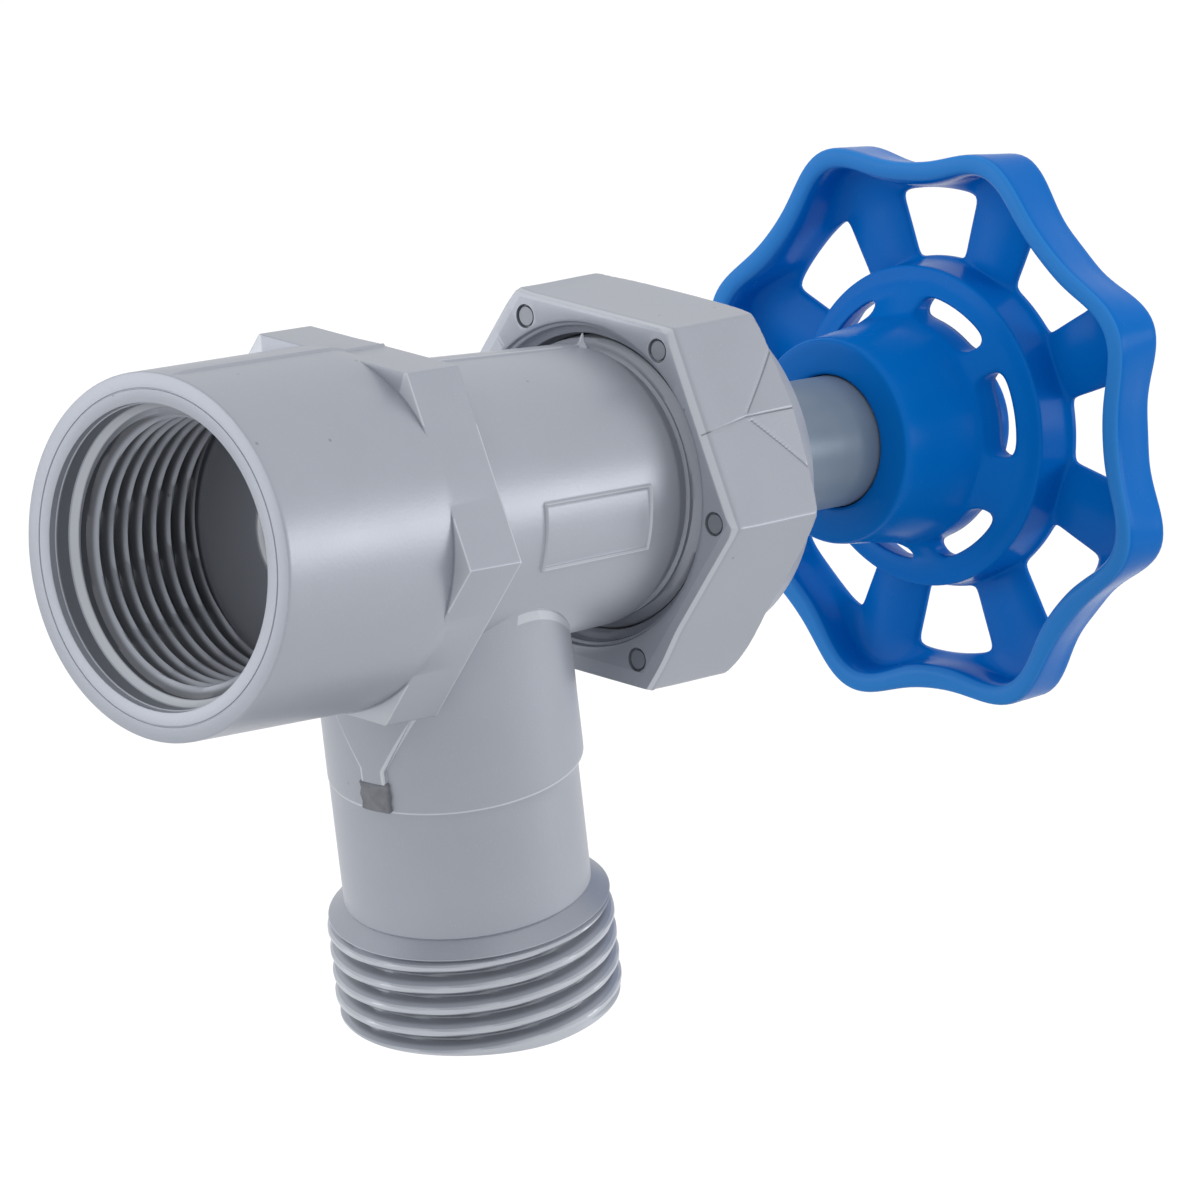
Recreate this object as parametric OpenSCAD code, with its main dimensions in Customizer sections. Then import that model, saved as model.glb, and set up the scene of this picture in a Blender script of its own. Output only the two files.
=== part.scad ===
// Boiler drain valve: female pipe inlet, screw-down seat, angled male hose outlet.
// X is the valve's axis, from the inlet's mouth to the handwheel. Z is up.

/* [Inlet socket] */
// Radius of the inlet's thread bore, at the thread's roots
inlet_r = 13.3; // [12.8:0.1:13.8]
// Wall around the inlet's bore
inlet_wall = 3.6; // [3:0.1:4.5]
// Depth of the inlet's bore
inlet_depth = 18.5; // [16:0.5:22]
// Chamfer at the inlet's mouth
mouth_chamfer = 0.9; // [0.5:0.1:1]
// Chamfer on the socket's outer lip
lip_chamfer = 0.4; // [0.2:0.1:1]

/* [Seat] */
// Wall between the inlet's bore and the chamber
floor_t = 4.3; // [3:0.1:6]
// Height of the seat ring above the chamber's floor
seat_h = 2.7; // [1.5:0.1:3.5]
// Radius of the water way through the seat
seat_bore_r = 5.2; // [4.2:0.1:5.4]
// Width of the seat ring
seat_ring_w = 1.6; // [1:0.1:2]

/* [Barrel] */
// Radius of the chamber
chamber_r = 10.3; // [10:0.1:10.6]
// Length of the chamber, from its floor to the body's open end
chamber_l = 39.7; // [38:0.1:42]
// Barrel radius where it leaves the hexagon
barrel_r = 14.5; // [14:0.1:15]
// Barrel radius at its rim
rim_r = 13.3; // [13:0.1:13.8]
// Depth of the relief behind the rim
rim_relief = 0.7; // [0.3:0.1:1]
// Length of the relief behind the rim
relief_l = 1.5; // [1:0.1:2]
// Radius of the body's thread for the bonnet nut
end_thread_r = 13.85; // [13.7:0.05:14]
// Length of the body's thread for the bonnet nut
end_thread_l = 6.0; // [5:0.1:7]

/* [Hexagon collar] */
// Width of the collar across its flats
collar_af = 33.0; // [32:0.1:33.5]
// Length of the collar along the axis
collar_l = 6.8; // [5:0.1:8]
// Distance of the collar from the end of the inlet's bore
collar_gap = 2.45; // [1:0.05:3]

/* [Label frame] */
// Distance of the bare frame from the collar
frame_gap = 8.25; // [6:0.05:9]
// Length of the bare frame on the barrel
frame_l = 14.5; // [10:0.1:16]
// Height of the bare frame on the barrel
frame_h = 6.1; // [4:0.1:7]
// Width of the frame's line
frame_line = 0.4; // [0.3:0.1:1]
// How far the frame stands proud
frame_rise = 0.25; // [0.2:0.05:0.5]

/* [Outlet] */
// Lean of the outlet towards the handwheel, in degrees from square
outlet_tilt = 13.7; // [8:0.1:15]
// Distance from the chamber's floor to the point where the outlet's axis meets the valve's axis
outlet_set = 11.4; // [11:0.1:12.5]
// Radius of the outlet's water way
outlet_bore_r = 9.0; // [8:0.1:9.3]
// Outlet pipe radius
pipe_r = 11.65; // [11.3:0.05:12]
// Extra radius of the sleeve at the root of the pipe
sleeve_step = 0.4; // [0.2:0.05:0.8]
// Distance along the outlet from the valve's axis to the sleeve's step
sleeve_l = 25.4; // [22:0.1:28]
// Distance along the outlet from the valve's axis to the hose thread
thread_from = 39.4; // [36:0.1:42]
// Length of the hose thread
hose_thread_l = 9.4; // [8:0.1:12]
// Radius of the hose thread over its crests
hose_thread_r = 13.45; // [13.3:0.05:13.6]
// Chamfer at both ends of the hose thread
thread_chamfer = 0.9; // [0.5:0.1:1.2]

/* [Gate rib] */
// Width of the rib under the collar at its top
rib_top_w = 7.6; // [6:0.1:10]
// Width of the rib at the moulding gate
gate_w = 3.4; // [3:0.1:5]
// Height of the moulding gate's stub
gate_h = 2.7; // [2:0.1:4]
// How far the rib stands proud of the sleeve
rib_rise = 0.25; // [0.2:0.05:0.5]
// How far the gate's stub stands proud of the sleeve
gate_rise = 0.5; // [0.4:0.1:0.8]
// Turn of the rib about the outlet, away from the inlet's side, in degrees
gate_turn = 7.5; // [0:0.5:12]

/* [Bonnet nut] */
// Width of the nut across its flats
nut_af = 34.4; // [33.8:0.1:35]
// Length of the nut's flats
nut_flat_l = 12.1; // [11:0.1:13]
// Length of the nut's chamfer behind the flats
nut_nose_l = 2.55; // [2:0.05:3.5]
// Radius of the nut's nose at its back face
nut_nose_r = 16.4; // [15.5:0.1:17]
// Thickness of the nut's end wall
nut_wall = 4.5; // [3.5:0.1:5]
// Radius of the nut's lead-in bore
nut_entry_r = 15.0; // [14.6:0.1:15.4]
// Length of the nut's lead-in bore
nut_entry_l = 2.6; // [2:0.1:3.5]
// Chamfer at the nut's mouth
nut_chamfer = 0.5; // [0.3:0.1:0.8]
// Chamfer along the front edges of the nut's flats
nut_edge = 0.7; // [0.3:0.1:0.9]
// Radius of the round ejector marks on the nut's front face
ejector_r = 1.1; // [0.8:0.1:1.3]
// Depth of the ejector marks
ejector_depth = 0.35; // [0.2:0.05:0.6]

/* [Bonnet] */
// Thickness of the flat gasket under the bonnet's flange
gasket_t = 1.0; // [0.8:0.1:1.5]
// Thickness of the bonnet's flange
flange_t = 2.0; // [1.5:0.1:2.5]
// Length of the bonnet's sleeve inside the body
bonnet_l = 16.5; // [15:0.1:17]
// Radius of the packing chamber
packing_r = 8.8; // [8.4:0.1:9]
// Length of the packing ring
packing_l = 2.9; // [2:0.1:3.2]
// Thickness of the follower that presses the packing
follower_t = 1.9; // [1.4:0.1:2.2]
// Length of the plain land that guides the stem
land_l = 1.7; // [1:0.1:2]

/* [Stem] */
// Radius of the stem's shaft
stem_r = 6.33; // [6:0.01:6.5]
// Radius of the stem's thread over its crests
stem_thread_r = 7.25; // [7:0.05:7.5]
// Length of the stem's thread
stem_thread_l = 9.0; // [7:0.1:9.2]
// Lift of the stem from closed to fully open
lift = 6.25; // [5:0.25:6.25]
// Radius of the stem below its thread
neck_r = 5.2; // [4.6:0.1:5.6]
// Depth of the socket for the disc holder's stub
socket_l = 8.6; // [7:0.1:9.5]
// Length of stem that shows between the nut and the handwheel when closed
stem_reach = 19.9; // [16:0.1:24]
// Width of the stem's square across its flats
square_w = 8.4; // [7.6:0.1:8.8]

/* [Disc] */
// Radius of the disc holder
disc_r = 8.2; // [8:0.1:8.6]
// Thickness of the disc holder behind the seat washer
disc_t = 2.5; // [2:0.1:3]
// Height of the rim around the seat washer
disc_rim_h = 1.3; // [1:0.1:1.8]
// Thickness of the seat washer
washer_t = 3.0; // [2.5:0.1:3.5]
// Radius of the seat washer
washer_r = 7.3; // [7.1:0.05:7.5]
// Radius of the disc holder's stub
stub_r = 2.5; // [2.3:0.05:2.8]

/* [Fasteners] */
// Radius of the shank of both screws
screw_r = 1.6; // [1.4:0.05:1.75]
// Head radius of the screw in the seat washer
disc_screw_head_r = 3.1; // [2.8:0.1:3.4]
// Head height of the screw in the seat washer
disc_screw_head_h = 1.6; // [1.2:0.1:2]
// Length of the shank of the screw in the seat washer
disc_screw_l = 9.0; // [8:0.1:10]
// Head radius of the handwheel's screw
wheel_screw_head_r = 3.7; // [3.2:0.1:4]
// Head height of the handwheel's screw
wheel_screw_head_h = 1.9; // [1.4:0.1:2.2]
// Length of the shank of the handwheel's screw
wheel_screw_l = 14.0; // [10:0.5:16]
// Radius of the flat washer under the handwheel's screw
flat_washer_r = 5.2; // [4.8:0.1:5.4]
// Thickness of the flat washer under the handwheel's screw
flat_washer_t = 1.0; // [0.8:0.1:1.2]

/* [Handwheel] */
// Mean radius of the wavy rim
rim_mean_r = 27.2; // [26:0.1:29]
// Height of the rim's waves
rim_wave = 1.5; // [0.8:0.1:1.8]
// Length of the rim along the axis
rim_l = 5.9; // [5.8:0.1:6.5]
// Number of lobes, windows and spokes
lobes = 8; // [6:1:9]
// Turn of the wheel as photographed, in degrees
wheel_turn = 30.6; // [0:0.1:45]
// Radius of the hub
hub_r = 10.0; // [9.6:0.1:10.4]
// Length of the hub in front of the flange
hub_l = 12.7; // [10:0.1:14]
// Depth of the stem's round shoulder in the hub
shoulder_l = 3.1; // [2:0.1:4]
// Radius of the raised flange around the hub
flange_r = 15.7; // [15.5:0.1:16]
// Radius of the hollow curve that leads from the hub to the flange
hub_curve_r = 4.5; // [4:0.1:4.8]
// Wall between the hollow curve and the well behind it
flange_skin = 2.0; // [1.5:0.1:2.3]
// Depth of the recess for the handwheel's washer and screw head
recess_l = 3.3; // [3:0.1:3.6]
// Depth from the rim's front edge to the spokes
dish = 3.7; // [3.2:0.1:3.8]
// Thickness of the spokes
spoke_t = 1.9; // [1.5:0.1:1.95]
// Inner radius of the windows
window_in_r = 16.8; // [16.7:0.1:17.5]
// Outer radius of the windows
window_out_r = 23.2; // [21.5:0.1:23.3]
// Half the angle that a window spans, in degrees
window_half = 12.9; // [10:0.1:14]
// Radius of the windows' corners
window_corner = 1.0; // [0.5:0.1:1.2]
// Number of pairs of curved slots around the hub
slot_pairs = 3; // [1:1:3]
// Half the angle between the two slots of a pair, in degrees
slot_spread = 33.5; // [30:0.5:36]
// Inner radius of the curved slots
slot_in_r = 11.2; // [11.1:0.1:11.5]
// Width of the curved slots
slot_w = 2.2; // [1.4:0.1:2.3]
// Half the angle that a slot spans, in degrees
slot_half = 15.5; // [10:0.5:17]

/* [Fits] */
// Radial clearance of turning and sliding fits
run_clear = 0.05; // [0.03:0.01:0.08]
// Radial clearance of pieces that are pushed together
push_clear = 0.05; // [0.03:0.01:0.1]
// Gap between the seat washer and the seat when closed
seat_gap = 0.1; // [0.05:0.05:0.2]
// Gap between the turning stem and the disc holder
swivel_gap = 0.1; // [0.05:0.05:0.2]
// Radial clearance of holes that the stem only passes through
pass_clear = 0.35; // [0.2:0.05:0.5]

/* [Hidden] */

plastic_grey = [0.62, 0.64, 0.67];
stem_grey = [0.52, 0.55, 0.58];
wheel_blue = [0.03, 0.28, 0.66];
rubber_black = [0.08, 0.08, 0.08];
packing_grey = [0.25, 0.25, 0.26];
brass_yellow = [0.78, 0.62, 0.32];
steel_grey = [0.7, 0.7, 0.72];

round_fn = 96;
eps = 0.01;
cut = 1;

// Places along the valve's axis, from the inlet's mouth
socket_r = inlet_r + inlet_wall;
floor_x = inlet_depth + floor_t;
seat_x = floor_x + seat_h;
body_end_x = floor_x + chamber_l;
end_thread_x = body_end_x - end_thread_l;
rim_x = end_thread_x - relief_l;
relief_r = rim_r - rim_relief;
collar_x = inlet_depth + collar_gap;
collar_end_x = collar_x + collar_l;
hex_factor = 1 / cos(30);
edge_break = 0.4;

// Stack held between the body's end and the nut's end wall
gasket_x = body_end_x;
flange_x = gasket_x + gasket_t;
flange_end_x = flange_x + flange_t;
nut_inner_x = flange_end_x;
nut_end_x = nut_inner_x + nut_wall;
nut_nose_x = nut_end_x - nut_nose_l;
nut_x = nut_nose_x - nut_flat_l;
nut_bore_r = end_thread_r + push_clear;
nut_relief_l = 0.6;
bonnet_flange_r = nut_bore_r - 0.3;
bonnet_sleeve_r = chamber_r - push_clear * 2;
bonnet_x = body_end_x - bonnet_l + gasket_t;
follower_x = flange_end_x - follower_t;
packing_x = follower_x - packing_l;
land_x = packing_x - land_l;
stem_thread_end_x = land_x - lift - seat_gap;
stem_thread_x = stem_thread_end_x - stem_thread_l;

// Disc, washer and their screw
washer_x = seat_x + seat_gap;
disc_x = washer_x + washer_t;
disc_end_x = disc_x + disc_t;
stem_x = disc_end_x + swivel_gap;
stub_l = socket_l - push_clear * 4;
stub_play = run_clear;

// Handwheel
hub_x = nut_end_x + stem_reach;
shoulder_x = hub_x + shoulder_l;
wheel_x = hub_x + hub_l;
spoke_x = wheel_x + dish;
spoke_end_x = spoke_x + spoke_t;
wheel_end_x = wheel_x + rim_l;
hub_floor_x = wheel_end_x - recess_l;
square_end_x = hub_floor_x - 0.3;
recess_r = flat_washer_r + 0.4;
wheel_washer_end_x = hub_floor_x + flat_washer_t;
rim_wall = 2.1;
rim_points = 10;
flange_x_front = wheel_x + 0.2;
curve_x = flange_x_front - hub_curve_r;
curve_r = flange_r - 0.3;
well_x = wheel_x + 1.8;
slot_axis = -47.1;
well_out_r = flange_r - 1.2;
hub_back_r = recess_r + 1.6;

// Turns a profile of [x, r] points about the valve's axis
module turned(points) {
    rotate([90, 0, 90])
        rotate_extrude($fn = round_fn)
            polygon([for (p = points) [p[1], p[0]]]);
}

// A cylinder along the valve's axis
module rod(x, r, l) {
    translate([x, 0, 0]) rotate([0, 90, 0]) cylinder(h = l, r = r, $fn = round_fn);
}

// A hexagonal bar along the valve's axis with flats above and below
module hex_bar(x, af, l) {
    translate([x, 0, 0]) rotate([0, 90, 0]) rotate([0, 0, 90])
        cylinder(h = l, r = af / 2 * hex_factor, $fn = 6);
}

// Puts its children in the outlet's frame: origin on the valve's axis, Z along the water's way out
module on_outlet() {
    translate([floor_x + outlet_set, 0, 0]) rotate([0, 180 - outlet_tilt, 0]) children();
}

// A pan head with a cross recess, its bearing face at x and its crown towards the side given
module pan_head(x, r, h, side) {
    crown = h * 0.55;
    cross_l = r * 1.1;
    cross_w = r * 0.28;
    difference() {
        turned([[x, 0], [x, r], [x + side * (h - crown), r], [x + side * (h - crown * 0.4), r * 0.86],
            [x + side * h, r * 0.5], [x + side * h, 0]]);
        for (a = [0, 90])
            rotate([a, 0, 0])
                translate([x + side * (h + h * 0.5 - crown), 0, 0])
                    cube([h, cross_l, cross_w], center = true);
    }
}

// VALVE BODY

module body_outside() {
    turned([[0, 0], [0, socket_r - lip_chamfer], [lip_chamfer, socket_r], [collar_x + edge_break, socket_r],
        [collar_end_x - edge_break, barrel_r], [rim_x - edge_break, rim_r], [rim_x, rim_r - edge_break],
        [rim_x, relief_r], [end_thread_x, relief_r], [end_thread_x + edge_break, end_thread_r],
        [body_end_x - edge_break, end_thread_r], [body_end_x, end_thread_r - edge_break], [body_end_x, 0]]);
}

module collar() {
    hex_bar(collar_x, collar_af, collar_l);
}

module outlet_outside() {
    sleeve_r = pipe_r + sleeve_step;
    thread_to = thread_from + hose_thread_l;
    on_outlet()
        rotate_extrude($fn = round_fn)
            polygon([[0, 2], [sleeve_r, 2], [sleeve_r, sleeve_l - sleeve_step / 2],
                [sleeve_r - sleeve_step, sleeve_l], [pipe_r, thread_from],
                [hose_thread_r - thread_chamfer / 2, thread_from],
                [hose_thread_r, thread_from + thread_chamfer / 2],
                [hose_thread_r, thread_to], [hose_thread_r - thread_chamfer, thread_to + thread_chamfer],
                [0, thread_to + thread_chamfer]]);
}

// Low rib from the collar to the moulding gate on the front of the sleeve
module gate_rib() {
    top_s = (collar_af / 2 - 1) / cos(outlet_tilt);
    sleeve_r = pipe_r + sleeve_step;
    on_outlet()
        rotate([0, 0, -gate_turn]) {
            intersection() {
                rotate([0, 90, 0]) mirror([1, 0, 0])
                    translate([0, 0, sleeve_r - 3])
                        linear_extrude(height = 4)
                            polygon([[top_s, -rib_top_w / 2], [sleeve_l - gate_h, -gate_w / 2],
                                [sleeve_l - gate_h, gate_w / 2], [top_s, rib_top_w / 2]]);
                cylinder(h = sleeve_l, r = sleeve_r + rib_rise, $fn = round_fn);
            }
            translate([sleeve_r - 3, -gate_w / 2, sleeve_l - gate_h])
                cube([3 + gate_rise, gate_w, gate_h - sleeve_step]);
        }
}

// Bare raised frame on the near side of the barrel
module label_frame() {
    frame_x = collar_end_x + frame_gap;
    slope = (barrel_r - rim_r) / (rim_x - collar_end_x);
    at_front = barrel_r - slope * (frame_x - collar_end_x) + frame_rise;
    at_back = at_front - slope * frame_l;
    rotate([-0.8, 0, 0])
        intersection() {
            turned([[frame_x, 0], [frame_x, at_front], [frame_x + frame_l, at_back], [frame_x + frame_l, 0]]);
            difference() {
                translate([frame_x, -barrel_r - cut, -frame_h / 2]) cube([frame_l, 4, frame_h]);
                translate([frame_x + frame_line, -barrel_r - 2 * cut, -frame_h / 2 + frame_line])
                    cube([frame_l - 2 * frame_line, 6, frame_h - 2 * frame_line]);
            }
        }
}

module water_way() {
    seat_out_r = seat_bore_r + seat_ring_w;
    turned([[-cut, 0], [-cut, inlet_r + mouth_chamfer + cut], [mouth_chamfer, inlet_r], [inlet_depth, inlet_r],
        [inlet_depth, seat_bore_r + edge_break], [inlet_depth + edge_break, seat_bore_r], [seat_x, seat_bore_r],
        [seat_x, seat_out_r - edge_break], [floor_x, seat_out_r], [floor_x, chamber_r],
        [body_end_x + cut, chamber_r], [body_end_x + cut, 0]]);
    on_outlet()
        translate([0, 0, 6.5])
            cylinder(h = thread_from + hose_thread_l + cut, r = outlet_bore_r, $fn = round_fn);
}

module valve_body() {
    color(plastic_grey)
        difference() {
            union() {
                body_outside();
                collar();
                outlet_outside();
                gate_rib();
                label_frame();
            }
            water_way();
        }
}

// PIECES HELD BY THE BONNET NUT

module bonnet_gasket() {
    color(rubber_black)
        difference() {
            rod(gasket_x, bonnet_flange_r, gasket_t);
            rod(gasket_x - cut, bonnet_sleeve_r + push_clear, gasket_t + 2 * cut);
        }
}

module bonnet() {
    color(stem_grey)
        difference() {
            union() {
                turned([[bonnet_x, 0], [bonnet_x, bonnet_sleeve_r - edge_break], [bonnet_x + edge_break, bonnet_sleeve_r],
                    [flange_x, bonnet_sleeve_r], [flange_x, bonnet_flange_r], [flange_end_x, bonnet_flange_r],
                    [flange_end_x, 0]]);
            }
            rod(bonnet_x - cut, stem_thread_r + run_clear, land_x - bonnet_x + cut);
            rod(land_x - cut, stem_r + run_clear, land_l + 2 * cut);
            rod(packing_x, packing_r, flange_end_x - packing_x + cut);
        }
}

module stem_packing() {
    color(packing_grey)
        difference() {
            rod(packing_x, packing_r - push_clear, packing_l);
            rod(packing_x - cut, stem_r + run_clear, packing_l + 2 * cut);
        }
}

module packing_follower() {
    color(brass_yellow)
        difference() {
            rod(follower_x, packing_r - push_clear, follower_t);
            rod(follower_x - cut, stem_r + run_clear, follower_t + 2 * cut);
        }
}

// BONNET NUT

module nut_outside() {
    corner_r = nut_af / 2 * hex_factor;
    front_r = (nut_af / 2 - nut_edge) * hex_factor;
    flare_l = nut_flat_l + nut_nose_l + cut;
    intersection() {
        hex_bar(nut_x, nut_af, nut_nose_x - nut_x + 0.5);
        translate([nut_x, 0, 0]) rotate([0, 90, 0]) rotate([0, 0, 90])
            cylinder(h = flare_l, r1 = front_r, r2 = front_r + flare_l * hex_factor, $fn = 6);
        turned([[nut_x - cut, 0], [nut_x - cut, corner_r + cut], [nut_nose_x - 1.4, corner_r + cut],
            [nut_nose_x - 1.4, corner_r + 0.05], [nut_nose_x - 0.3, corner_r - 1.1],
            [nut_nose_x, nut_af / 2 - 0.25], [nut_nose_x, 0]]);
    }
    turned([[nut_nose_x - 4, 0], [nut_nose_x - 4, nut_af / 2 - 0.5], [nut_nose_x - 0.5, nut_af / 2 - 0.2],
        [nut_end_x - 0.3, nut_nose_r + 0.1], [nut_end_x, nut_nose_r - 0.2], [nut_end_x, 0]]);
}

module bonnet_nut() {
    mark_r = nut_af / 2;
    color(plastic_grey)
        difference() {
            nut_outside();
            turned([[nut_x - cut, 0], [nut_x - cut, nut_entry_r + nut_chamfer + cut],
                [nut_x + nut_chamfer, nut_entry_r], [nut_x + nut_entry_l, nut_entry_r],
                [nut_x + nut_entry_l + nut_entry_r - nut_bore_r, nut_bore_r],
                [nut_inner_x, nut_bore_r], [nut_inner_x, 0]]);
            rod(nut_inner_x - cut, stem_r + pass_clear, nut_wall + 2 * cut);
            for (a = [0 : 60 : 300])
                rotate([a, 0, 0])
                    translate([0, mark_r, 0]) rod(nut_x - cut, ejector_r, ejector_depth + cut);
        }
}

// DISC

module disc_holder() {
    color(brass_yellow)
        difference() {
            turned([[disc_x - disc_rim_h, 0], [disc_x - disc_rim_h, disc_r], [disc_end_x - edge_break, disc_r],
                [disc_end_x, disc_r - edge_break], [disc_end_x, stub_r], [disc_end_x + stub_l - edge_break, stub_r],
                [disc_end_x + stub_l, stub_r - edge_break], [disc_end_x + stub_l, 0]]);
            rod(disc_x - disc_rim_h - cut, washer_r + push_clear, disc_rim_h + cut);
            rod(disc_x - cut, screw_r + push_clear, disc_screw_l - washer_t + 2 * cut);
        }
}

module seat_washer() {
    color(rubber_black)
        difference() {
            rod(washer_x, washer_r, washer_t);
            rod(washer_x - cut, screw_r + push_clear, washer_t + 2 * cut);
        }
}

module seat_washer_screw() {
    color(brass_yellow) {
        pan_head(washer_x, disc_screw_head_r, disc_screw_head_h, -1);
        rod(washer_x - eps, screw_r, disc_screw_l + eps);
    }
}

// STEM

module stem() {
    color(stem_grey)
        difference() {
            union() {
                turned([[stem_x, 0], [stem_x, neck_r - edge_break], [stem_x + edge_break, neck_r],
                    [stem_thread_x, neck_r], [stem_thread_x + stem_thread_r - neck_r, stem_thread_r],
                    [stem_thread_end_x - edge_break, stem_thread_r],
                    [stem_thread_end_x, stem_thread_r - edge_break], [stem_thread_end_x, stem_r],
                    [shoulder_x - edge_break, stem_r], [shoulder_x, stem_r - edge_break], [shoulder_x, 0]]);
                translate([shoulder_x - eps, -square_w / 2, -square_w / 2])
                    cube([square_end_x - shoulder_x + eps, square_w, square_w]);
            }
            rod(stem_x - cut, stub_r + stub_play, socket_l + cut);
            rod(square_end_x - wheel_screw_l, screw_r + push_clear, wheel_screw_l + cut);
        }
}

// HANDWHEEL

// Radius of the rim's wavy outline at an angle
function wave_r(a) = rim_mean_r + rim_wave * cos(lobes * a);

// Section of the rim: distance behind its front edge, and distance inside the wavy outline
function rim_section() = let (back = wheel_end_x - wheel_x, taper = 0.6, w = rim_wall) [
    [0.5, 0], [back - 1.3, taper], [back - 0.4, taper + 0.4], [back, taper + 1.0], [back, w + 0.3],
    [0.5, w - 0.2], [0.12, w - 0.5], [0, w / 2], [0.12, 0.4]];

module rim() {
    section = rim_section();
    n = len(section);
    steps = lobes * rim_points;
    points = [for (i = [0 : steps - 1], p = section)
        let (a = 360 * i / steps, r = wave_r(a) - p[1]) [wheel_x + p[0], -r * cos(a), r * sin(a)]];
    faces = [for (i = [0 : steps - 1], j = [0 : n - 1])
        let (i2 = (i + 1) % steps, j2 = (j + 1) % n)
            each [[i * n + j, i2 * n + j, i2 * n + j2], [i * n + j, i2 * n + j2, i * n + j2]]];
    rotate([-wheel_turn, 0, 0]) polyhedron(points, faces, convexity = 8);
}

// Flat shape of the web inside the rim, in the wheel's plane
module web_shape() {
    steps = lobes * rim_points;
    polygon([for (i = [0 : steps - 1]) let (a = 360 * i / steps, r = wave_r(a) - rim_wall / 2 - 0.3)
        [r * cos(a), r * sin(a)]]);
}

// One window between two spokes, with rounded corners
module window_shape() {
    c = window_corner;
    in_a = window_half - c / window_in_r * 57.3;
    out_a = window_half - c / window_out_r * 57.3;
    corners = [[window_in_r + c, -in_a, 180], [window_out_r - c, -out_a, 270],
        [window_out_r - c, out_a, 0], [window_in_r + c, in_a, 90]];
    outer_arc = [for (i = [0 : 3]) -out_a + out_a * (2 * i + 1) / 4];
    polygon([for (k = [0 : 3]) each concat(
        [for (j = [0 : 4]) let (q = corners[k], t = q[1] + q[2] + 22.5 * j)
            [q[0] * cos(q[1]) + c * cos(t), q[0] * sin(q[1]) + c * sin(t)]],
        k == 1 ? [for (t = outer_arc) [window_out_r * cos(t), window_out_r * sin(t)]] : [])]);
}

// One curved slot around the hub, with round ends
module slot_shape() {
    mid_r = slot_in_r + slot_w / 2;
    out_r = slot_in_r + slot_w;
    across = [for (i = [0 : 8]) slot_half * (i / 4 - 1)];
    end_at = function(side, t) let (c = [mid_r * cos(slot_half), side * mid_r * sin(slot_half)])
        [c[0] + slot_w / 2 * cos(t), c[1] + slot_w / 2 * sin(t)];
    polygon(concat(
        [for (t = across) [out_r * cos(t), out_r * sin(t)]],
        [for (j = [1 : 5]) end_at(1, slot_half + 30 * j)],
        [for (i = [8 : -1 : 0]) [slot_in_r * cos(across[i]), slot_in_r * sin(across[i])]],
        [for (j = [1 : 5]) end_at(-1, 180 - slot_half + 30 * j)]));
}

// Points on the hollow curve between hub and flange, at radius q about the curve's centre
function hub_curve(q, from, to) = [for (i = [0 : 6]) let (t = from + (to - from) * i / 6)
    [curve_x + q * sin(t), curve_r - q * cos(t)]];

// Puts a flat shape drawn in the wheel's plane on the valve's axis, from x onwards
module in_wheel(x, l) {
    rotate([-wheel_turn, 0, 0]) translate([x, 0, 0]) rotate([90, 0, 90]) mirror([1, 0, 0])
        linear_extrude(height = l) children();
}

module handwheel() {
    color(wheel_blue)
        difference() {
            union() {
                rim();
                in_wheel(spoke_x, spoke_t) web_shape();
                turned(concat([[hub_x, 0], [hub_x, hub_r - 0.6], [hub_x + 0.6, hub_r]], hub_curve(hub_curve_r, 0, 90),
                    [[flange_x_front + 0.3, flange_r], [spoke_x, flange_r + 0.5], [spoke_end_x, flange_r + 0.5],
                    [spoke_end_x, 0]]));
                rod(spoke_x, hub_back_r, wheel_end_x - spoke_x - 0.2);
            }
            turned(concat([[well_x, hub_back_r]], hub_curve(hub_curve_r + flange_skin, 30, 78),
                [[spoke_end_x + cut, well_out_r], [spoke_end_x + cut, hub_back_r]]));
            for (i = [0 : lobes - 1])
                in_wheel(spoke_x - 0.4, spoke_t + 2) rotate(180 / lobes + 360 / lobes * i) window_shape();
            for (i = [0 : slot_pairs - 1], side = [-1, 1])
                in_wheel(curve_x + 0.2, well_x + 0.9 - curve_x)
                    rotate(slot_axis + 120 * i + side * slot_spread) slot_shape();
            rod(hub_x - cut, stem_r + push_clear, shoulder_l + cut);
            translate([shoulder_x - eps, -square_w / 2 - push_clear, -square_w / 2 - push_clear])
                cube([hub_floor_x - shoulder_x + cut, square_w + 2 * push_clear, square_w + 2 * push_clear]);
            rod(hub_floor_x, recess_r, wheel_end_x - hub_floor_x + cut);
        }
}

module handwheel_washer() {
    color(steel_grey)
        difference() {
            rod(hub_floor_x, flat_washer_r, flat_washer_t);
            rod(hub_floor_x - cut, screw_r + push_clear, flat_washer_t + 2 * cut);
        }
}

module handwheel_screw() {
    color(steel_grey) {
        pan_head(wheel_washer_end_x, wheel_screw_head_r, wheel_screw_head_h, 1);
        rod(wheel_washer_end_x - wheel_screw_l, screw_r, wheel_screw_l + eps);
    }
}

valve_body();
bonnet_gasket();
bonnet();
stem_packing();
packing_follower();
bonnet_nut();
disc_holder();
seat_washer();
seat_washer_screw();
stem();
handwheel();
handwheel_washer();
handwheel_screw();
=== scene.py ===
# %% [markdown]
# # A boiler drain valve, dressed for the studio
# The valve is moulded in silver-grey plastic: a threaded socket, a hexagonal collar, a round barrel and a
# leaning outlet are one moulding, a large nut closes the barrel, and a blue wheel turns the stem.
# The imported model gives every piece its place. This script only gives the pieces their skin: real threads,
# softened edges and finishes. All sizes below are in millimetres along the valve's own axis, which starts
# at the inlet's mouth and runs to the wheel, and they turn into metres when a mesh is made.

import math

import bmesh
import bpy
import numpy as np
from mathutils import Matrix, Vector


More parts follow.
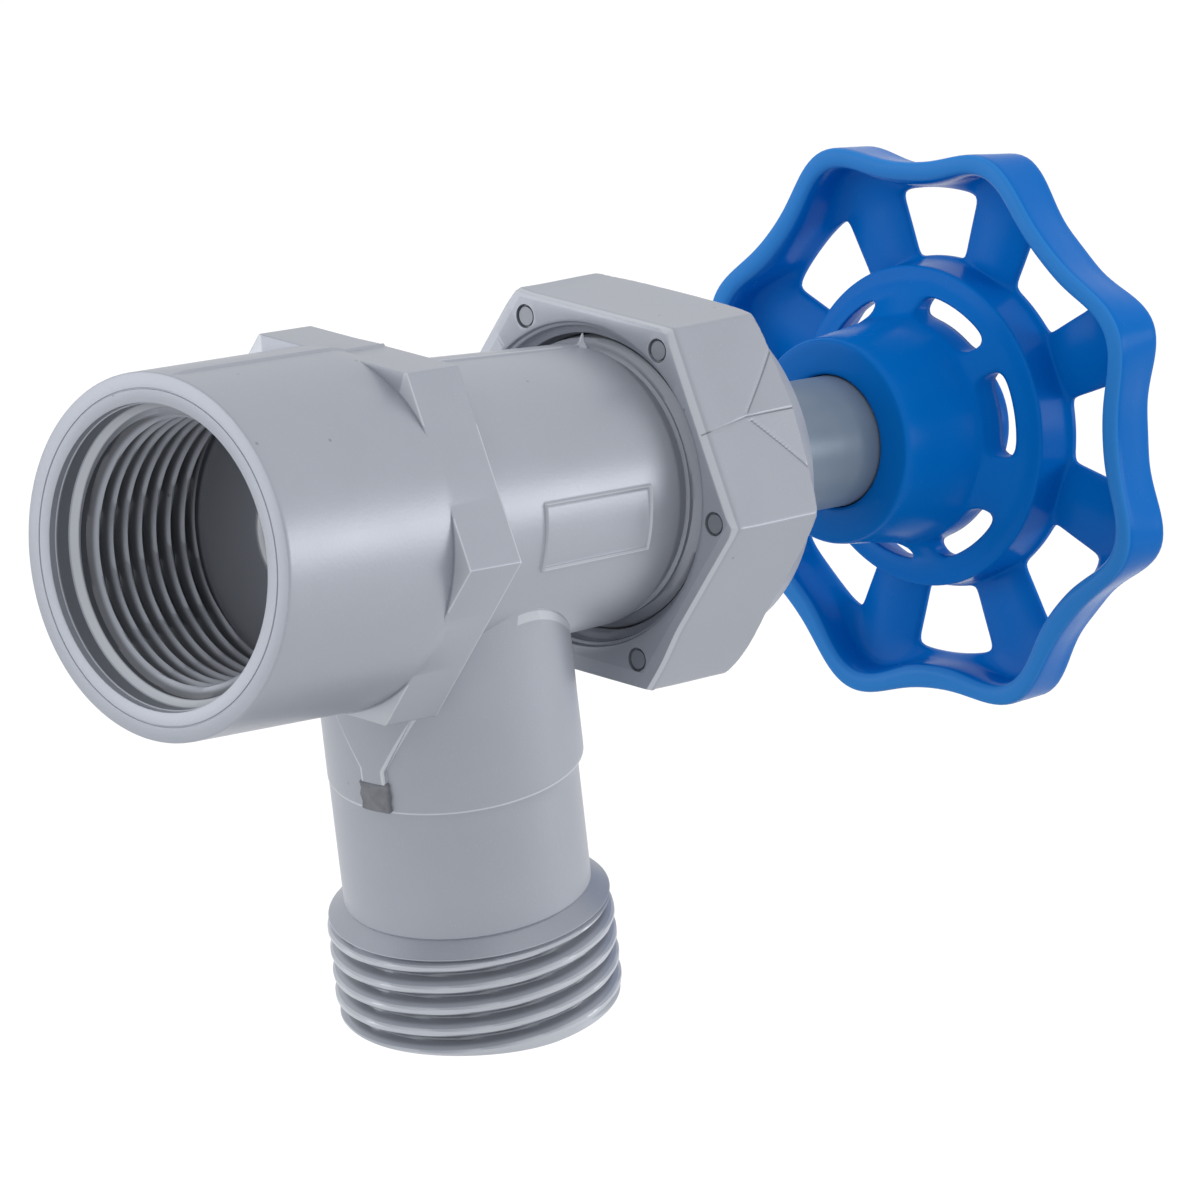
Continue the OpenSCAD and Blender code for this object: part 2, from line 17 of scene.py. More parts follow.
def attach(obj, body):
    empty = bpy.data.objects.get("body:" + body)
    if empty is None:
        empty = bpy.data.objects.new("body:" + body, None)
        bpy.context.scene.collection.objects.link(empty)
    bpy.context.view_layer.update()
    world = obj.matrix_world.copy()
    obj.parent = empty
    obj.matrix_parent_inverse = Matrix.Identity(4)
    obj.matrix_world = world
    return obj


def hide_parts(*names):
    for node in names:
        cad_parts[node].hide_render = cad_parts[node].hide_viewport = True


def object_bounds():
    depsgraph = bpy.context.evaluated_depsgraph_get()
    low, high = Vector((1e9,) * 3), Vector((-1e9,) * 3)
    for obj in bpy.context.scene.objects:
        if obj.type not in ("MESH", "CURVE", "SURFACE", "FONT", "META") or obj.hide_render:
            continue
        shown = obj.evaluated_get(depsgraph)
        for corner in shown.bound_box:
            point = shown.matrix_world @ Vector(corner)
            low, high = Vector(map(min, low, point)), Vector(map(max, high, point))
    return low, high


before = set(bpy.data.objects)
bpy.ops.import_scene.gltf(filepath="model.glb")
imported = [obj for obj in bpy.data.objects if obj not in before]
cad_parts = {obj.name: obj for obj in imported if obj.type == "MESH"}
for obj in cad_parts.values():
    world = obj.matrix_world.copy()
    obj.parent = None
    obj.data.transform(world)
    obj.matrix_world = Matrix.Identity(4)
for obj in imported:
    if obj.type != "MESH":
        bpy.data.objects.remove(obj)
cad_low, cad_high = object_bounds()
MM = 0.001
print("the frame holds", sorted(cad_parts))

# %% [markdown]
# ## The camera
# A product photographer stands well back with a long lens, so the valve shows little perspective. The
# camera could be aimed by hand, but one worked out from edges measured in the picture comes closer: about
# two in three of them land within two pixels, and the worst miss by twelve. It looks from the front
# left, a little from above, and leans slightly. How far back it stands is the least certain part.

# %% Place the camera
CAMERA_AZIMUTH, CAMERA_ELEVATION, CAMERA_LEAN = -47.252, 13.497, 3.69
CAMERA_DISTANCE, AIM_RIGHT, AIM_UP = 1003.581, 2.031, -10.789
LENS_PIXELS, PICTURE_WIDTH, SENSOR_WIDTH = 10706.789, 1200, 36.0
VALVE_MIDDLE = Vector((55, 0, 0))


def camera_axes():
    """The camera's right, up and backward directions."""
    turn, rise, lean = (math.radians(a) for a in (CAMERA_AZIMUTH, CAMERA_ELEVATION, CAMERA_LEAN))
    back = Vector((math.sin(turn) * math.cos(rise), -math.cos(turn) * math.cos(rise), math.sin(rise)))
    level = Vector((math.cos(turn), math.sin(turn), 0))
    over = back.cross(level)
    right = level * math.cos(lean) + over * math.sin(lean)
    up = -level * math.sin(lean) + over * math.cos(lean)
    return right, up, back


def place_camera():
    right, up, back = camera_axes()
    aim = VALVE_MIDDLE + right * AIM_RIGHT + up * AIM_UP
    data = bpy.data.cameras.new("studio_camera")
    data.sensor_width = SENSOR_WIDTH
    data.lens = LENS_PIXELS * SENSOR_WIDTH / PICTURE_WIDTH
    data.clip_start, data.clip_end = 0.05, 20
    camera = bpy.data.objects.new("studio_camera", data)
    bpy.context.scene.collection.objects.link(camera)
    turned = Matrix((right, up, back)).transposed().to_4x4()
    camera.matrix_world = Matrix.Translation((aim + back * CAMERA_DISTANCE) * MM) @ turned
    bpy.context.scene.camera = camera
    return camera


studio_camera = place_camera()
print("camera lens", round(studio_camera.data.lens, 1), "mm")

# %% [markdown]
# ## Turned solids
# Nearly every piece of a valve is turned or moulded around an axis. A lathe profile alone can't hold a
# thread or a hexagon, so each ring of points here gets a radius of its own at every angle. Angles start at
# the side that faces the camera and run upwards. Rings are joined into a closed skin, so the result can be
# cut and joined like a block of plastic.

# %% Helpers for turned solids
def spread_angles(step, dense_step=None, dense=()):
    """Angles round a ring in radians: even steps, and finer ones in the stretches given, all in degrees."""
    angles, at = [], 0.0
    while at < 360 - 1e-6:
        angles.append(at)
        fine = any(low <= at < high or low <= at - 360 < high for low, high in dense)
        at += dense_step if fine else step
    return np.radians(np.array(angles))


def ring(x, r, angles):
    """One ring of points round the valve's axis."""
    x = np.broadcast_to(np.asarray(x, float), angles.shape)
    r = np.broadcast_to(np.asarray(r, float), angles.shape)
    return np.stack([x, -r * np.cos(angles), r * np.sin(angles)], axis=1)


def skin(name, rings, closed=False, place=None):
    """A mesh object from rings of points, closed by two end points unless the last ring meets the first."""
    rings = [np.asarray(r) for r in rings]
    count, around = len(rings), len(rings[0])
    points = np.concatenate(rings)
    faces = []
    for i in range(count if closed else count - 1):
        a, b = i * around, (i + 1) % count * around
        for j in range(around):
            k = (j + 1) % around
            faces.append((a + j, a + k, b + k, b + j))
    if not closed:
        points = np.concatenate([points, [rings[0].mean(0), rings[-1].mean(0)]])
        first, last = len(points) - 2, len(points) - 1
        end = (count - 1) * around
        for j in range(around):
            k = (j + 1) % around
            faces.append((first, k, j))
            faces.append((last, end + j, end + k))
    if place is not None:
        points = points @ np.array(place.to_3x3()).T + np.array(place.translation)
    mesh = bpy.data.meshes.new(name)
    mesh.from_pydata((points * MM).tolist(), [], faces)
    tidy = bmesh.new()
    tidy.from_mesh(mesh)
    bmesh.ops.recalc_face_normals(tidy, faces=tidy.faces)
    tidy.to_mesh(mesh)
    tidy.free()
    made = bpy.data.objects.new(name, mesh)
    bpy.context.scene.collection.objects.link(made)
    return made


def cut_or_join(target, tool, operation):
    """Joins tool to target, or cuts it out, and throws the tool away."""
    step = target.modifiers.new("step", "BOOLEAN")
    step.operation, step.solver, step.object = operation, "MANIFOLD", tool
    settle(target)
    bpy.data.objects.remove(tool)


def settle(piece):
    """Turns a piece's modifiers into plain mesh."""
    bpy.context.view_layer.update()
    solid = piece.evaluated_get(bpy.context.evaluated_depsgraph_get())
    mesh = bpy.data.meshes.new_from_object(solid)
    piece.modifiers.clear()
    piece.data = mesh


def soften_shading(piece, crease_angle=32):
    """Smooth shading that still breaks at real edges."""
    piece.data.shade_smooth()
    piece.data.set_sharp_from_angle(angle=math.radians(crease_angle))


def fit_piece(piece, body, node, finish):
    """Gives a finished piece its body and its finish, and hides the plain solid that it stands for."""
    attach(piece, body)
    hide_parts(node)
    piece.data.materials.clear()
    piece.data.materials.append(finish)
    print(piece.name, "has", len(piece.data.polygons), "faces")


# %% [markdown]
# ## Shapes that threads and hexagons share
# A moulded thread is a ridge that winds once round for each pitch. Taking the share of a turn from the
# place along the axis gives a saw, and clipping the saw gives flats at root and crest. A hexagon with
# slightly rounded corners comes from six flats blended by a high power, so no bevel is needed.

# %% Thread and hexagon
def thread_wave(x, angles, pitch, crest=0.14, root=0.14):
    """0 at a right-hand thread's root and 1 at its crest."""
    turn = np.mod(x / pitch + angles / (2 * np.pi), 1.0)
    rise = np.abs(2 * turn - 1)
    return np.clip((rise - root) / (1 - crest - root), 0, 1)


def fade(x, low, high):
    """Eases from 0 to 1 between low and high."""
    t = np.clip((x - low) / (high - low), 0, 1)
    return t * t * (3 - 2 * t)


def hexagon(angles, across_flats, sharpness):
    """Radius of a hexagon with a corner towards the camera."""
    total = sum(np.maximum(np.cos(angles - math.radians(30 + 60 * k)), 0) ** sharpness for k in range(6))
    return across_flats / 2 / total ** (1 / sharpness)


def line_mark(value, at, half_width):
    """A soft narrow line: 1 at its middle, 0 away from it."""
    return np.exp(-(((value - at) / half_width) ** 2))


def angle_from(angles, at_degrees):
    """Degrees from a direction, between -180 and 180."""
    return (np.degrees(angles) - at_degrees + 180) % 360 - 180


# %% [markdown]
# ## The body's outside
# Socket and barrel are one turned skin, and the hexagonal collar is a prism joined to it, so its corners
# stand up as crisp flat triangles. A single skin that turns hexagonal there would blur them. Rings lie
# close together where an edge is rounded. The plate on the barrel is only a bare raised outline, and a fine
# seam runs along the top and the bottom where the two halves of the mould met.

# %% Outside of socket, collar and barrel
SOCKET_R, COLLAR_X, COLLAR_END, COLLAR_AF = 16.9, 20.95, 27.75, 33.0
BARREL_START_R, BARREL_TAPER = 14.36, 0.0375
RIM_X, BODY_END, END_CORE_R = 55.0, 62.5, 12.9
END_THREAD_X, END_THREAD_LAST, END_PITCH, END_RIDGE = 56.5, 62.3, 1.8, 0.95
PLATE_X, PLATE_END, PLATE_LOW, PLATE_HIGH, PLATE_LINE = 36.0, 50.5, -11.7, 13.3, 0.36
SEAM_HEIGHT, FLECK_X, FLECK_HEIGHT = 0.1, 54.25, 1.2


def barrel_r(x):
    return BARREL_START_R - (x - COLLAR_END) * BARREL_TAPER


def plate_outline(x, angles):
    """Height of the bare outline on the barrel."""
    off = angle_from(angles, 0)
    along = fade(x, PLATE_X - 0.2, PLATE_X) * (1 - fade(x, PLATE_END, PLATE_END + 0.2))
    across = fade(off, PLATE_LOW - 0.8, PLATE_LOW) * (1 - fade(off, PLATE_HIGH, PLATE_HIGH + 0.8))
    bars = line_mark(x, PLATE_X, 0.13) + line_mark(x, PLATE_END, 0.13)
    lines = line_mark(off, PLATE_LOW, 0.6) + 0.45 * line_mark(off, PLATE_HIGH, 0.6)
    return PLATE_LINE * np.maximum(bars * across, lines * along)


def mould_seam(x, angles):
    """Height of the fine seam along the top and the bottom, with a fleck of flash near the barrel's rim."""
    off = angle_from(angles, 90)
    seam = line_mark(off, 0, 0.4) + line_mark(angle_from(angles, 270), 0, 0.4)
    step = fade(off, -0.8, 0.0) * (1 - fade(off, 0.0, 14.0))
    fleck = line_mark(off, 0, 1.6) * line_mark(x, FLECK_X, 0.22)
    return SEAM_HEIGHT * (seam + step) + FLECK_HEIGHT * fleck


def body_outside_rings(angles):
    rows = [(0.0, 12.0), (0.0, 15.3), (0.1, 15.36), (0.1, 15.42), (0.0, 15.48), (0.0, 16.74), (0.04, 16.84),
        (0.14, 16.89), (0.4, SOCKET_R)]
    rows += [(x, SOCKET_R) for x in np.linspace(2.2, 20.7, 14)] + [(21.8, 16.74), (23.2, 16.35), (25.0, 15.8)]
    rings = [ring(x, np.asarray(r) + (mould_seam(x, angles) if x > 2 else 0), angles) for x, r in rows]
    for x, r in [(27.0, 15.5), (27.76, 15.2), (27.85, 14.95), (28.1, 14.65), (28.6, barrel_r(28.6))]:
        rings.append(ring(x, r, angles))
    near_bars = [bar + d for bar in (PLATE_X, PLATE_END) for d in np.arange(-0.35, 0.36, 0.07)]
    near_fleck = [53.6, 53.8, 54.0, 54.1, 54.2, 54.3, 54.4]
    for x in sorted(list(np.arange(29.6, 53.4, 1.0)) + near_bars + near_fleck):
        rings.append(ring(x, barrel_r(x) + plate_outline(x, angles) + mould_seam(x, angles), angles))
    rim = barrel_r(54.5)
    for x, r in [(54.6, rim), (54.85, rim - 0.08), (54.96, rim - 0.25), (RIM_X, rim - 0.5), (RIM_X, 12.7),
            (55.2, 12.6), (56.3, 12.6)]:
        rings.append(ring(x, r, angles))
    for x in np.arange(END_THREAD_X, END_THREAD_LAST, 0.2):
        whole = fade(x, 56.3, 57.4) * (1 - fade(x, END_THREAD_LAST - 0.5, END_THREAD_LAST))
        rings.append(ring(x, END_CORE_R + END_RIDGE * whole * thread_wave(x, angles, END_PITCH), angles))
    rings.append(ring(BODY_END - 0.1, 12.8, angles))
    rings.append(ring(BODY_END, 12.7, angles))
    return rings


def collar_rings(angles):
    flats = hexagon(angles, COLLAR_AF, 500)
    seam = mould_seam(24.0, angles)
    edge = [(0.0, 0.14), (0.03, 0.06), (0.1, 0.01), (0.2, 0.0)]
    rings = [ring(COLLAR_X, 12.0, angles)]
    rings += [ring(COLLAR_X + d, flats - drop + seam, angles) for d, drop in edge]
    rings += [ring(COLLAR_END - d, flats - drop + seam, angles) for d, drop in reversed(edge)]
    return rings + [ring(COLLAR_END, 12.0, angles)]


body_angles = spread_angles(1.8, 0.36, dense=((-14.4, 16.2), (88.2, 91.8), (268.2, 271.8)))
body = skin("drain_valve_body", body_outside_rings(body_angles))
corners = [(60 * k - 1.5, 60 * k + 1.5) for k in range(6)]
collar_angles = spread_angles(1.5, 0.25, dense=corners + [(88.5, 91.5), (268.5, 271.5)])
cut_or_join(body, skin("collar", collar_rings(collar_angles)), "UNION")
print("rings round the body have", len(body_angles), "points")

# %% [markdown]
# ## The outlet
# The outlet leans towards the wheel so that a hose clears the wall. It is a round pipe with a slightly wider
# sleeve at its root and a coarse hose thread at its end, which starts from a flared shoulder. It could be
# modelled where it lies, but turned pieces are easiest about their own axis, so its rings are made upright
# and then laid along the leaning line. The sleeve sits a little aside of the pipe, and the mouth is slightly
# out of square, as in the picture.

# %% Outside of the outlet
OUTLET_FROM, OUTLET_LEAN, PIPE_R, HOSE_START = 34.2, math.radians(13.7), 11.66, 39.7
HOSE_PITCH, HOSE_CREST, HOSE_DEPTH = 2.209, 13.48, 1.25
SLEEVE_END, SLEEVE_SHIFT = 25.42, np.array([0, -0.2, 0.2])


def outlet_place():
    along = Vector((math.sin(OUTLET_LEAN), 0, -math.cos(OUTLET_LEAN)))
    side = Vector((0, 1, 0))
    turned = Matrix((along, side, along.cross(side))).transposed().to_4x4()
    return Matrix.Translation((OUTLET_FROM, 0, 0)) @ turned


def outlet_rings(angles):
    rows = [(0.0, 11.9), (10.0, 12.02), (16.0, 12.02), (20.0, 12.0), (24.9, 12.02), (25.3, 12.01),
        (25.37, 11.98), (25.41, 11.9)]
    rings = [ring(s, r, angles) + SLEEVE_SHIFT for s, r in rows]
    rows = [(SLEEVE_END, 11.7), (25.5, PIPE_R)] + [(s, PIPE_R) for s in np.linspace(27, 38.2, 9)]
    rings += [ring(s, r, angles) for s, r in rows]
    for s in np.arange(38.4, 49.37, 0.16):
        shoulder = min(11.7 + 1.4 * (s - 38.55), 13.38 - 2.2 * (s - HOSE_START))
        wave = thread_wave(s - 0.35, angles, HOSE_PITCH, crest=0.2, root=0.12)
        rising = HOSE_CREST - HOSE_DEPTH * (1 - wave * fade(s, 39.6, 40.3))
        rings.append(ring(s, shoulder if s < HOSE_START else np.maximum(rising, shoulder), angles))
    off_square = 0.5 * fade(np.sin(angles), -1.0, -0.2)
    mouth = [(49.45, 13.25), (49.58, 12.9), (49.69, 12.45)]
    return rings + [ring(s + off_square, r, angles) for s, r in mouth]


outlet_angles = spread_angles(2.0)
cut_or_join(body, skin("outlet", outlet_rings(outlet_angles), place=outlet_place()), "UNION")
print("body and outlet together have", len(body.data.polygons), "faces")

# %% [markdown]
# ## The water way
# Water comes in through the threaded socket, passes the seat and leaves through the outlet. Inner walls
# could be drawn as part of the outside's profile, but three hollows that cross at an angle don't fit one
# profile. So each hollow is a solid of its own, the inlet with its thread, the chamber behind the seat and
# the outlet's bore, and is cut out of the moulding.

# %% Cut the water way
INLET_PITCH, INLET_ROOT_R, INLET_RIDGE = 1.814, 13.3, 1.08
INLET_FLOOR, CHAMBER_FLOOR, SEAT_X = 18.5, 22.8, 25.5
PORT_R, SEAT_POST_R, CHAMBER_R, BORE_R = 5.2, 6.8, 10.3, 9.0


def inlet_hollow(angles):
    mouth = [(-1.0, 14.3), (0.0, 14.22), (0.05, 14.1), (0.7, 14.04), (0.76, 13.94), (0.84, 13.94),
        (0.9, 14.02), (2.35, 14.0), (2.5, 13.9), (3.05, 13.32)]
    rings = [ring(x, r, angles) for x, r in mouth]
    for x in np.arange(3.06, 17.9, 0.14):
        whole = fade(x, 2.7, 3.5) * (1 - fade(x, 16.8, 17.6))
        ridge = thread_wave(x, angles, INLET_PITCH, crest=0.08, root=0.4)
        rings.append(ring(x, INLET_ROOT_R - INLET_RIDGE * whole * ridge, angles))
    floor = [(18.1, 13.25), (18.35, 13.1), (18.47, 12.8), (INLET_FLOOR, 12.3), (INLET_FLOOR, 6.3)]
    port = [(INLET_FLOOR, 6.0), (18.56, 5.86), (18.72, 5.6), (18.95, 5.35), (19.4, PORT_R), (26.0, PORT_R)]
    return rings + [ring(x, r, angles) for x, r in floor + port]


def chamber_hollow(angles):
    rows = [(CHAMBER_FLOOR, SEAT_POST_R), (CHAMBER_FLOOR, CHAMBER_R - 0.3), (CHAMBER_FLOOR + 0.3, CHAMBER_R),
        (62.0, CHAMBER_R), (64.0, 10.7)]
    return [ring(x, r, angles) for x, r in rows]


plain_angles = spread_angles(3.0)
chamber = skin("chamber", chamber_hollow(plain_angles))
post_rows = [(22.0, SEAT_POST_R), (SEAT_X - 0.3, SEAT_POST_R), (SEAT_X, SEAT_POST_R - 0.3)]
seat = skin("seat_post", [ring(x, r, plain_angles) for x, r in post_rows])
cut_or_join(chamber, seat, "DIFFERENCE")
cut_or_join(body, chamber, "DIFFERENCE")
cut_or_join(body, skin("inlet", inlet_hollow(spread_angles(1.875))), "DIFFERENCE")
bore_rows = [(6.5, BORE_R), (49.0, BORE_R), (49.45, 9.15), (49.75, 9.5), (51.0, 9.6)]
bore = [ring(s, r, plain_angles) for s, r in bore_rows]
cut_or_join(body, skin("outlet_bore", bore, place=outlet_place()), "DIFFERENCE")
print("the hollowed body has", len(body.data.polygons), "faces")

# %% [markdown]
# ## The gate rib
# Molten plastic entered at a small gate on the front of the sleeve. A low tongue narrows down to it from
# the collar, and the snapped-off gate leaves a little rough block, painted dark grey as shade. They could be
# plain boxes, but both follow the sleeve's round, so each is a patch of rings about the outlet's axis. The
# tongue is joined to the body, and the block stays a small piece of its own because its torn surface looks
# different, with painted shade making it dark.

# %% Gate rib
GATE_TURN, SLEEVE_R = 7.5, 12.02
TONGUE_FROM, TONGUE_HALF, TONGUE_NARROWS, TONGUE_LEAST = 17, 3.9, 0.62, 1.4
PATCH_EDGE, PATCH_DEPTH = 0.1, 1.5


def patch(name, rows):
    """A raised patch on the sleeve: each row is its place along the outlet, its half width and its height."""
    rings = []
    for s, half, rise in rows:
        across = np.array([-1, -1, -0.97, -0.9, -0.5, 0, 0.5, 0.9, 0.97, 1, 1]) * max(half, TONGUE_LEAST)
        side = [-PATCH_DEPTH, -PATCH_EDGE, rise - PATCH_EDGE]
        high = np.array(side + [rise] * 5 + side[::-1]) + SLEEVE_R
        turn = math.radians(GATE_TURN) + across / SLEEVE_R
        loop = np.stack([np.full(len(across), s), -high * np.sin(turn), -high * np.cos(turn)], axis=1)
        rings.append(loop + SLEEVE_SHIFT)
    return skin(name, rings, place=outlet_place())


TONGUE_RISES = ((14.2, 0.02), (15.2, 0.15), (16.2, 0.34), (18, 0.38), (19.5, 0.38), (21.0, 0.38),
    (22.4, 0.38))
tongue_rows = [(s, TONGUE_HALF - (s - TONGUE_FROM) * TONGUE_NARROWS, rise) for s, rise in TONGUE_RISES]
block_rows = [(22.3, 1.5, 0.3), (22.5, 1.65, 0.48), (23.1, 1.6, 0.4), (23.7, 1.7, 0.52), (24.5, 1.55, 0.42),
    (25.1, 1.65, 0.48), (25.3, 1.5, 0.3)]
cut_or_join(body, patch("gate_tongue", tongue_rows), "UNION")
gate_scar = patch("gate_scar", block_rows)
soften_shading(body)
soften_shading(gate_scar, 20)
print("with its gate rib the body has", len(body.data.polygons), "faces")

# %% [markdown]
# ## The bonnet nut
# The nut is a hexagon with a narrow chamfer in front, rounded corners behind and a short round nose. Where
# the halves of its mould met, a fine seam crosses two opposite flats and runs into a shallow raised V with a
# fine groove beside each arm. Round pits on the front face come from the pins that push the nut out of its
# mould. A prism with bevels would give straight edges only, so the nut is made of rings too: every ring is a
# hexagon whose size changes with its place. In the picture the nut sits a little low at its front and two
# flats look slightly fuller, so it is not quite regular here either. The V on the far side is a guess.

# %% Bonnet nut
NUT_X, NUT_FLATS, NUT_END, NUT_AF = 55.36, 67.45, 69.98, 34.4
V_START, V_HALF, V_RISE, V_TURN, SEAM_LAG, FLAT_R = 61.6, 18.5, 0.4, 31.3, 3.3, 17.4
SEAM_DEPTH, ARM_DEPTH, FULLER, FRONT_DROP, CHAMFER = 0.09, 0.1, 0.4, 0.35, 0.86
ROUND_START, ROUND_LENGTH, NOSE_R, NOSE_RISE = 65.9, 1.6, 17.05, 3.1
NUT_CORE_R, NUT_RIDGE, NUT_PITCH = 14.95, 0.95, 1.45
MARK_MID_R, MARK_R, MARK_DEPTH = 17.1, 1.15, 0.45
EDGE_DROPS = [(0.0, CHAMFER), (0.02, 0.78), (0.07, 0.71), (0.68, 0.1), (0.76, 0.04), (0.88, 0.0)]


def softer_min(a, b, blend):
    """The smaller of two radii, with a small fillet where they meet."""
    gap = np.clip(0.5 + 0.5 * (b - a) / blend, 0, 1)
    return b + (a - b) * gap - blend * gap * (1 - gap)


def nut_seam(x, angles):
    """Height of the raised V on the two flats that the seam crosses, less the fine grooves."""
    high = 0
    for middle in (V_TURN, V_TURN + 180):
        off = angle_from(angles, middle)
        grown = max((x - V_START) / (NUT_FLATS - V_START), 1e-3)
        high = high + V_RISE * grown * np.clip(1 - np.abs(off) / (V_HALF * grown), 0, 1)
        lag = SEAM_LAG * (1 - min((x - NUT_X) / (V_START - NUT_X), 1))
        high = high - SEAM_DEPTH * line_mark(off + lag, 0, 0.3)
        if x > V_START + 0.2:
            high = high - ARM_DEPTH * line_mark(np.abs(off), V_HALF * grown + 0.3, 0.5)
    return high


def nut_outside_rings(angles):
    grown = fade(-np.sin(angles), 0.62, 0.82) + fade(np.cos(angles - math.radians(150)), 0.82, 0.92)
    flats = hexagon(angles, NUT_AF, 260) + FULLER * grown
    chamfer = 0.3 + 0.65 * (1 - fade(np.abs(angle_from(angles, 30)), 27, 33))
    rings = [ring(NUT_X, r, angles) for r in (13.0, 15.9, flats - CHAMFER * chamfer - 0.25)]
    rings += [ring(NUT_X + d, flats - drop * chamfer, angles) for d, drop in EDGE_DROPS]
    places = list(np.arange(56.6, 61.2, 0.6)) + list(np.arange(61.4, ROUND_START, 0.3))
    places += [ROUND_START + ROUND_LENGTH * math.sin(math.radians(a)) for a in range(0, 91, 9)]
    for x in places:
        share = max((x - ROUND_START) / ROUND_LENGTH, 0)
        rounded = NOSE_R + NOSE_RISE * math.sqrt(1 - min(share, 1) ** 2)
        rings.append(ring(x, softer_min(flats, rounded, 0.25) + nut_seam(x, angles), angles))
    nose = [(67.62, 16.98), (68.6, 16.75), (69.5, 16.52), (69.8, 16.4), (NUT_END - 0.06, 16.2),
        (NUT_END, 15.9), (NUT_END, 7.4)]
    rings += [ring(x, r, angles) for x, r in nose]
    return [loop - [0, 0, FRONT_DROP - 0.25 * fade(loop[0, 0], 56.5, NUT_FLATS + 0.05)] for loop in rings]


def nut_hollow(angles):
    rings = [ring(x, r, angles) for x, r in [(NUT_X - 1, 15.75), (NUT_X, 15.65), (NUT_X + 0.12, 15.4),
        (NUT_X + 0.5, 15.25), (NUT_X + 0.62, 15.0), (NUT_X + 0.9, 14.9)]]
    for x in np.arange(56.4, 65.2, 0.2):
        whole = fade(x, 56.3, 57.3) * (1 - fade(x, 64.4, 65.2))
        ridge = NUT_RIDGE * whole * thread_wave(x - 0.9, angles, NUT_PITCH)
        rings.append(ring(x, NUT_CORE_R - ridge, angles))
    rings += [ring(65.5, r, angles) for r in (14.9, 6.9)] + [ring(x, 6.68, angles) for x in (65.8, 69.7)]
    return rings + [ring(70.05, 6.95, angles), ring(71, 7.0, angles)]


def ejector_mark(angle):
    """A shallow round pit in the nut's front face, with a groove round its floor."""
    loop = spread_angles(11.25)
    centre = np.array([0, -MARK_MID_R * math.cos(angle), MARK_MID_R * math.sin(angle) - 0.3])
    rows = [(NUT_X - 1, 0), (NUT_X + MARK_DEPTH, 0), (NUT_X + MARK_DEPTH, 0.2), (NUT_X + 0.14, 0.27)]
    return skin("ejector_mark", [ring(x, MARK_R - d, loop) + centre for x, d in rows])


seams = [(11.0, 51.5), (191.0, 231.5)]
nut = skin("bonnet_nut_moulding", nut_outside_rings(spread_angles(1.5, 0.25, dense=corners + seams)))
cut_or_join(nut, skin("nut_hollow", nut_hollow(spread_angles(2.5))), "DIFFERENCE")
for k in range(6):
    cut_or_join(nut, ejector_mark(math.radians(60 * k)), "DIFFERENCE")
soften_shading(nut)
print("the nut has", len(nut.data.polygons), "faces")

# %% [markdown]
# ## The handwheel
# The wheel is a thin glossy moulding, and a glossy skin shows every ripple. So it isn't cut from blocks: a
# coarse cage of rings is laid round the whole section, cells are left out where the windows and the slots
# go, and subdivision smooths the cage. Two sets of angles keep the cage's columns on the edges of the
# eight windows and of the three pairs of slots, and a little crease keeps those edges crisp. Subdivision
# flattens waves and widens holes a little, so the cage's waves are higher and its holes smaller.

# %% Handwheel cage
WHEEL_LOBES, LOBE_TURN, WINDOW_TURN, SLOT_TURN, SLOT_SPREAD = 8, 30.6, 8.0, -16.5, 33.5
SLOT_HALF, SLOT_IN, SLOT_OUT = 19.6, 11.12, 13.05
WINDOW_ROWS = ((16.2, 10.9), (17.6, 11.3), (21.3, 12.4), (22.85, 12.9))
RIM_SKEW, SUBDIVIDED, SUBDIVIDED_DOUBLE = 0.019, 0.922, 0.725
HUB_OUTSIDE = [(93.0, 6.4), (91.0, 6.4), (90.2, 6.42), (89.96, 6.6), (89.92, 7.2), (89.92, 9.4), (90.0, 9.85),
    (90.3, 10.04), (94.0, 10.35), (97.0, 10.72), (98.6, 10.88), (99.4, 11.02)]
FLANGE_FRONT = [(102.68, 14.2), (102.8, 15.0), (102.84, 15.5), (103.0, 15.72)]
FLANGE_SIDE = [(103.6, 15.7), (105.2, 15.74), (106.0, 15.8), (106.5, 15.9)]
RIM_INSIDE = [(106.0, -0.15), (105.3, 0.02), (103.6, 0.1), (102.85, 0.25)]
RIM_OUTSIDE = [(102.3, 0, 1.75), (102.22, 0, 1.1), (102.24, 0, 0.4), (102.4, 0, 0.03), (102.9, 0.02, -0.04),
    (104.0, 0.2, 0), (105.4, 0.5, 0), (107.0, 0.95, 0), (107.95, 1, 0.03), (108.24, 1, 0.33),
    (108.32, 1, 1.0), (108.2, 1, 1.9)]
WELL_SIDE = [(107.9, 15.6), (107.8, 14.9), (107.2, 14.55), (105.4, 14.4)]
WELL_FLOOR = [(102.3, 10.4), (102.0, 9.4), (102.5, 8.2), (103.8, 7.4), (105.6, 7.2), (107.9, 7.2),
    (108.3, 6.95), (108.3, 5.9), (108.1, 5.65), (105.8, 5.62), (105.5, 5.5)]
HUB_CURVE_FRONT, HUB_CURVE_REAR, RIM_WALL, CREASE = 4.5, 6.2, 2.25, 0.45
SLOT_CELLS, WINDOW_CELLS = (range(2, 11), range(13, 22)), range(2, 7)
slot_ends = [SLOT_HALF * share for share in (-1, -0.87, -0.65, -0.39, -0.13, 0.13, 0.39, 0.65, 0.87, 1)]
first_slot, second_slot = ([middle + a for a in slot_ends] for middle in (SLOT_SPREAD, 120 - SLOT_SPREAD))
sector = [0, 7.1] + first_slot + [60] + second_slot + [112.9]
slot_angles = np.radians([SLOT_TURN + 120 * k + a for k in range(3) for a in sector])
narrowed = [1, 0.2] + [0] * 6 + [0.2, 1]
slot_end = np.tile([0, 0] + narrowed + [0] + narrowed + [0], 3)


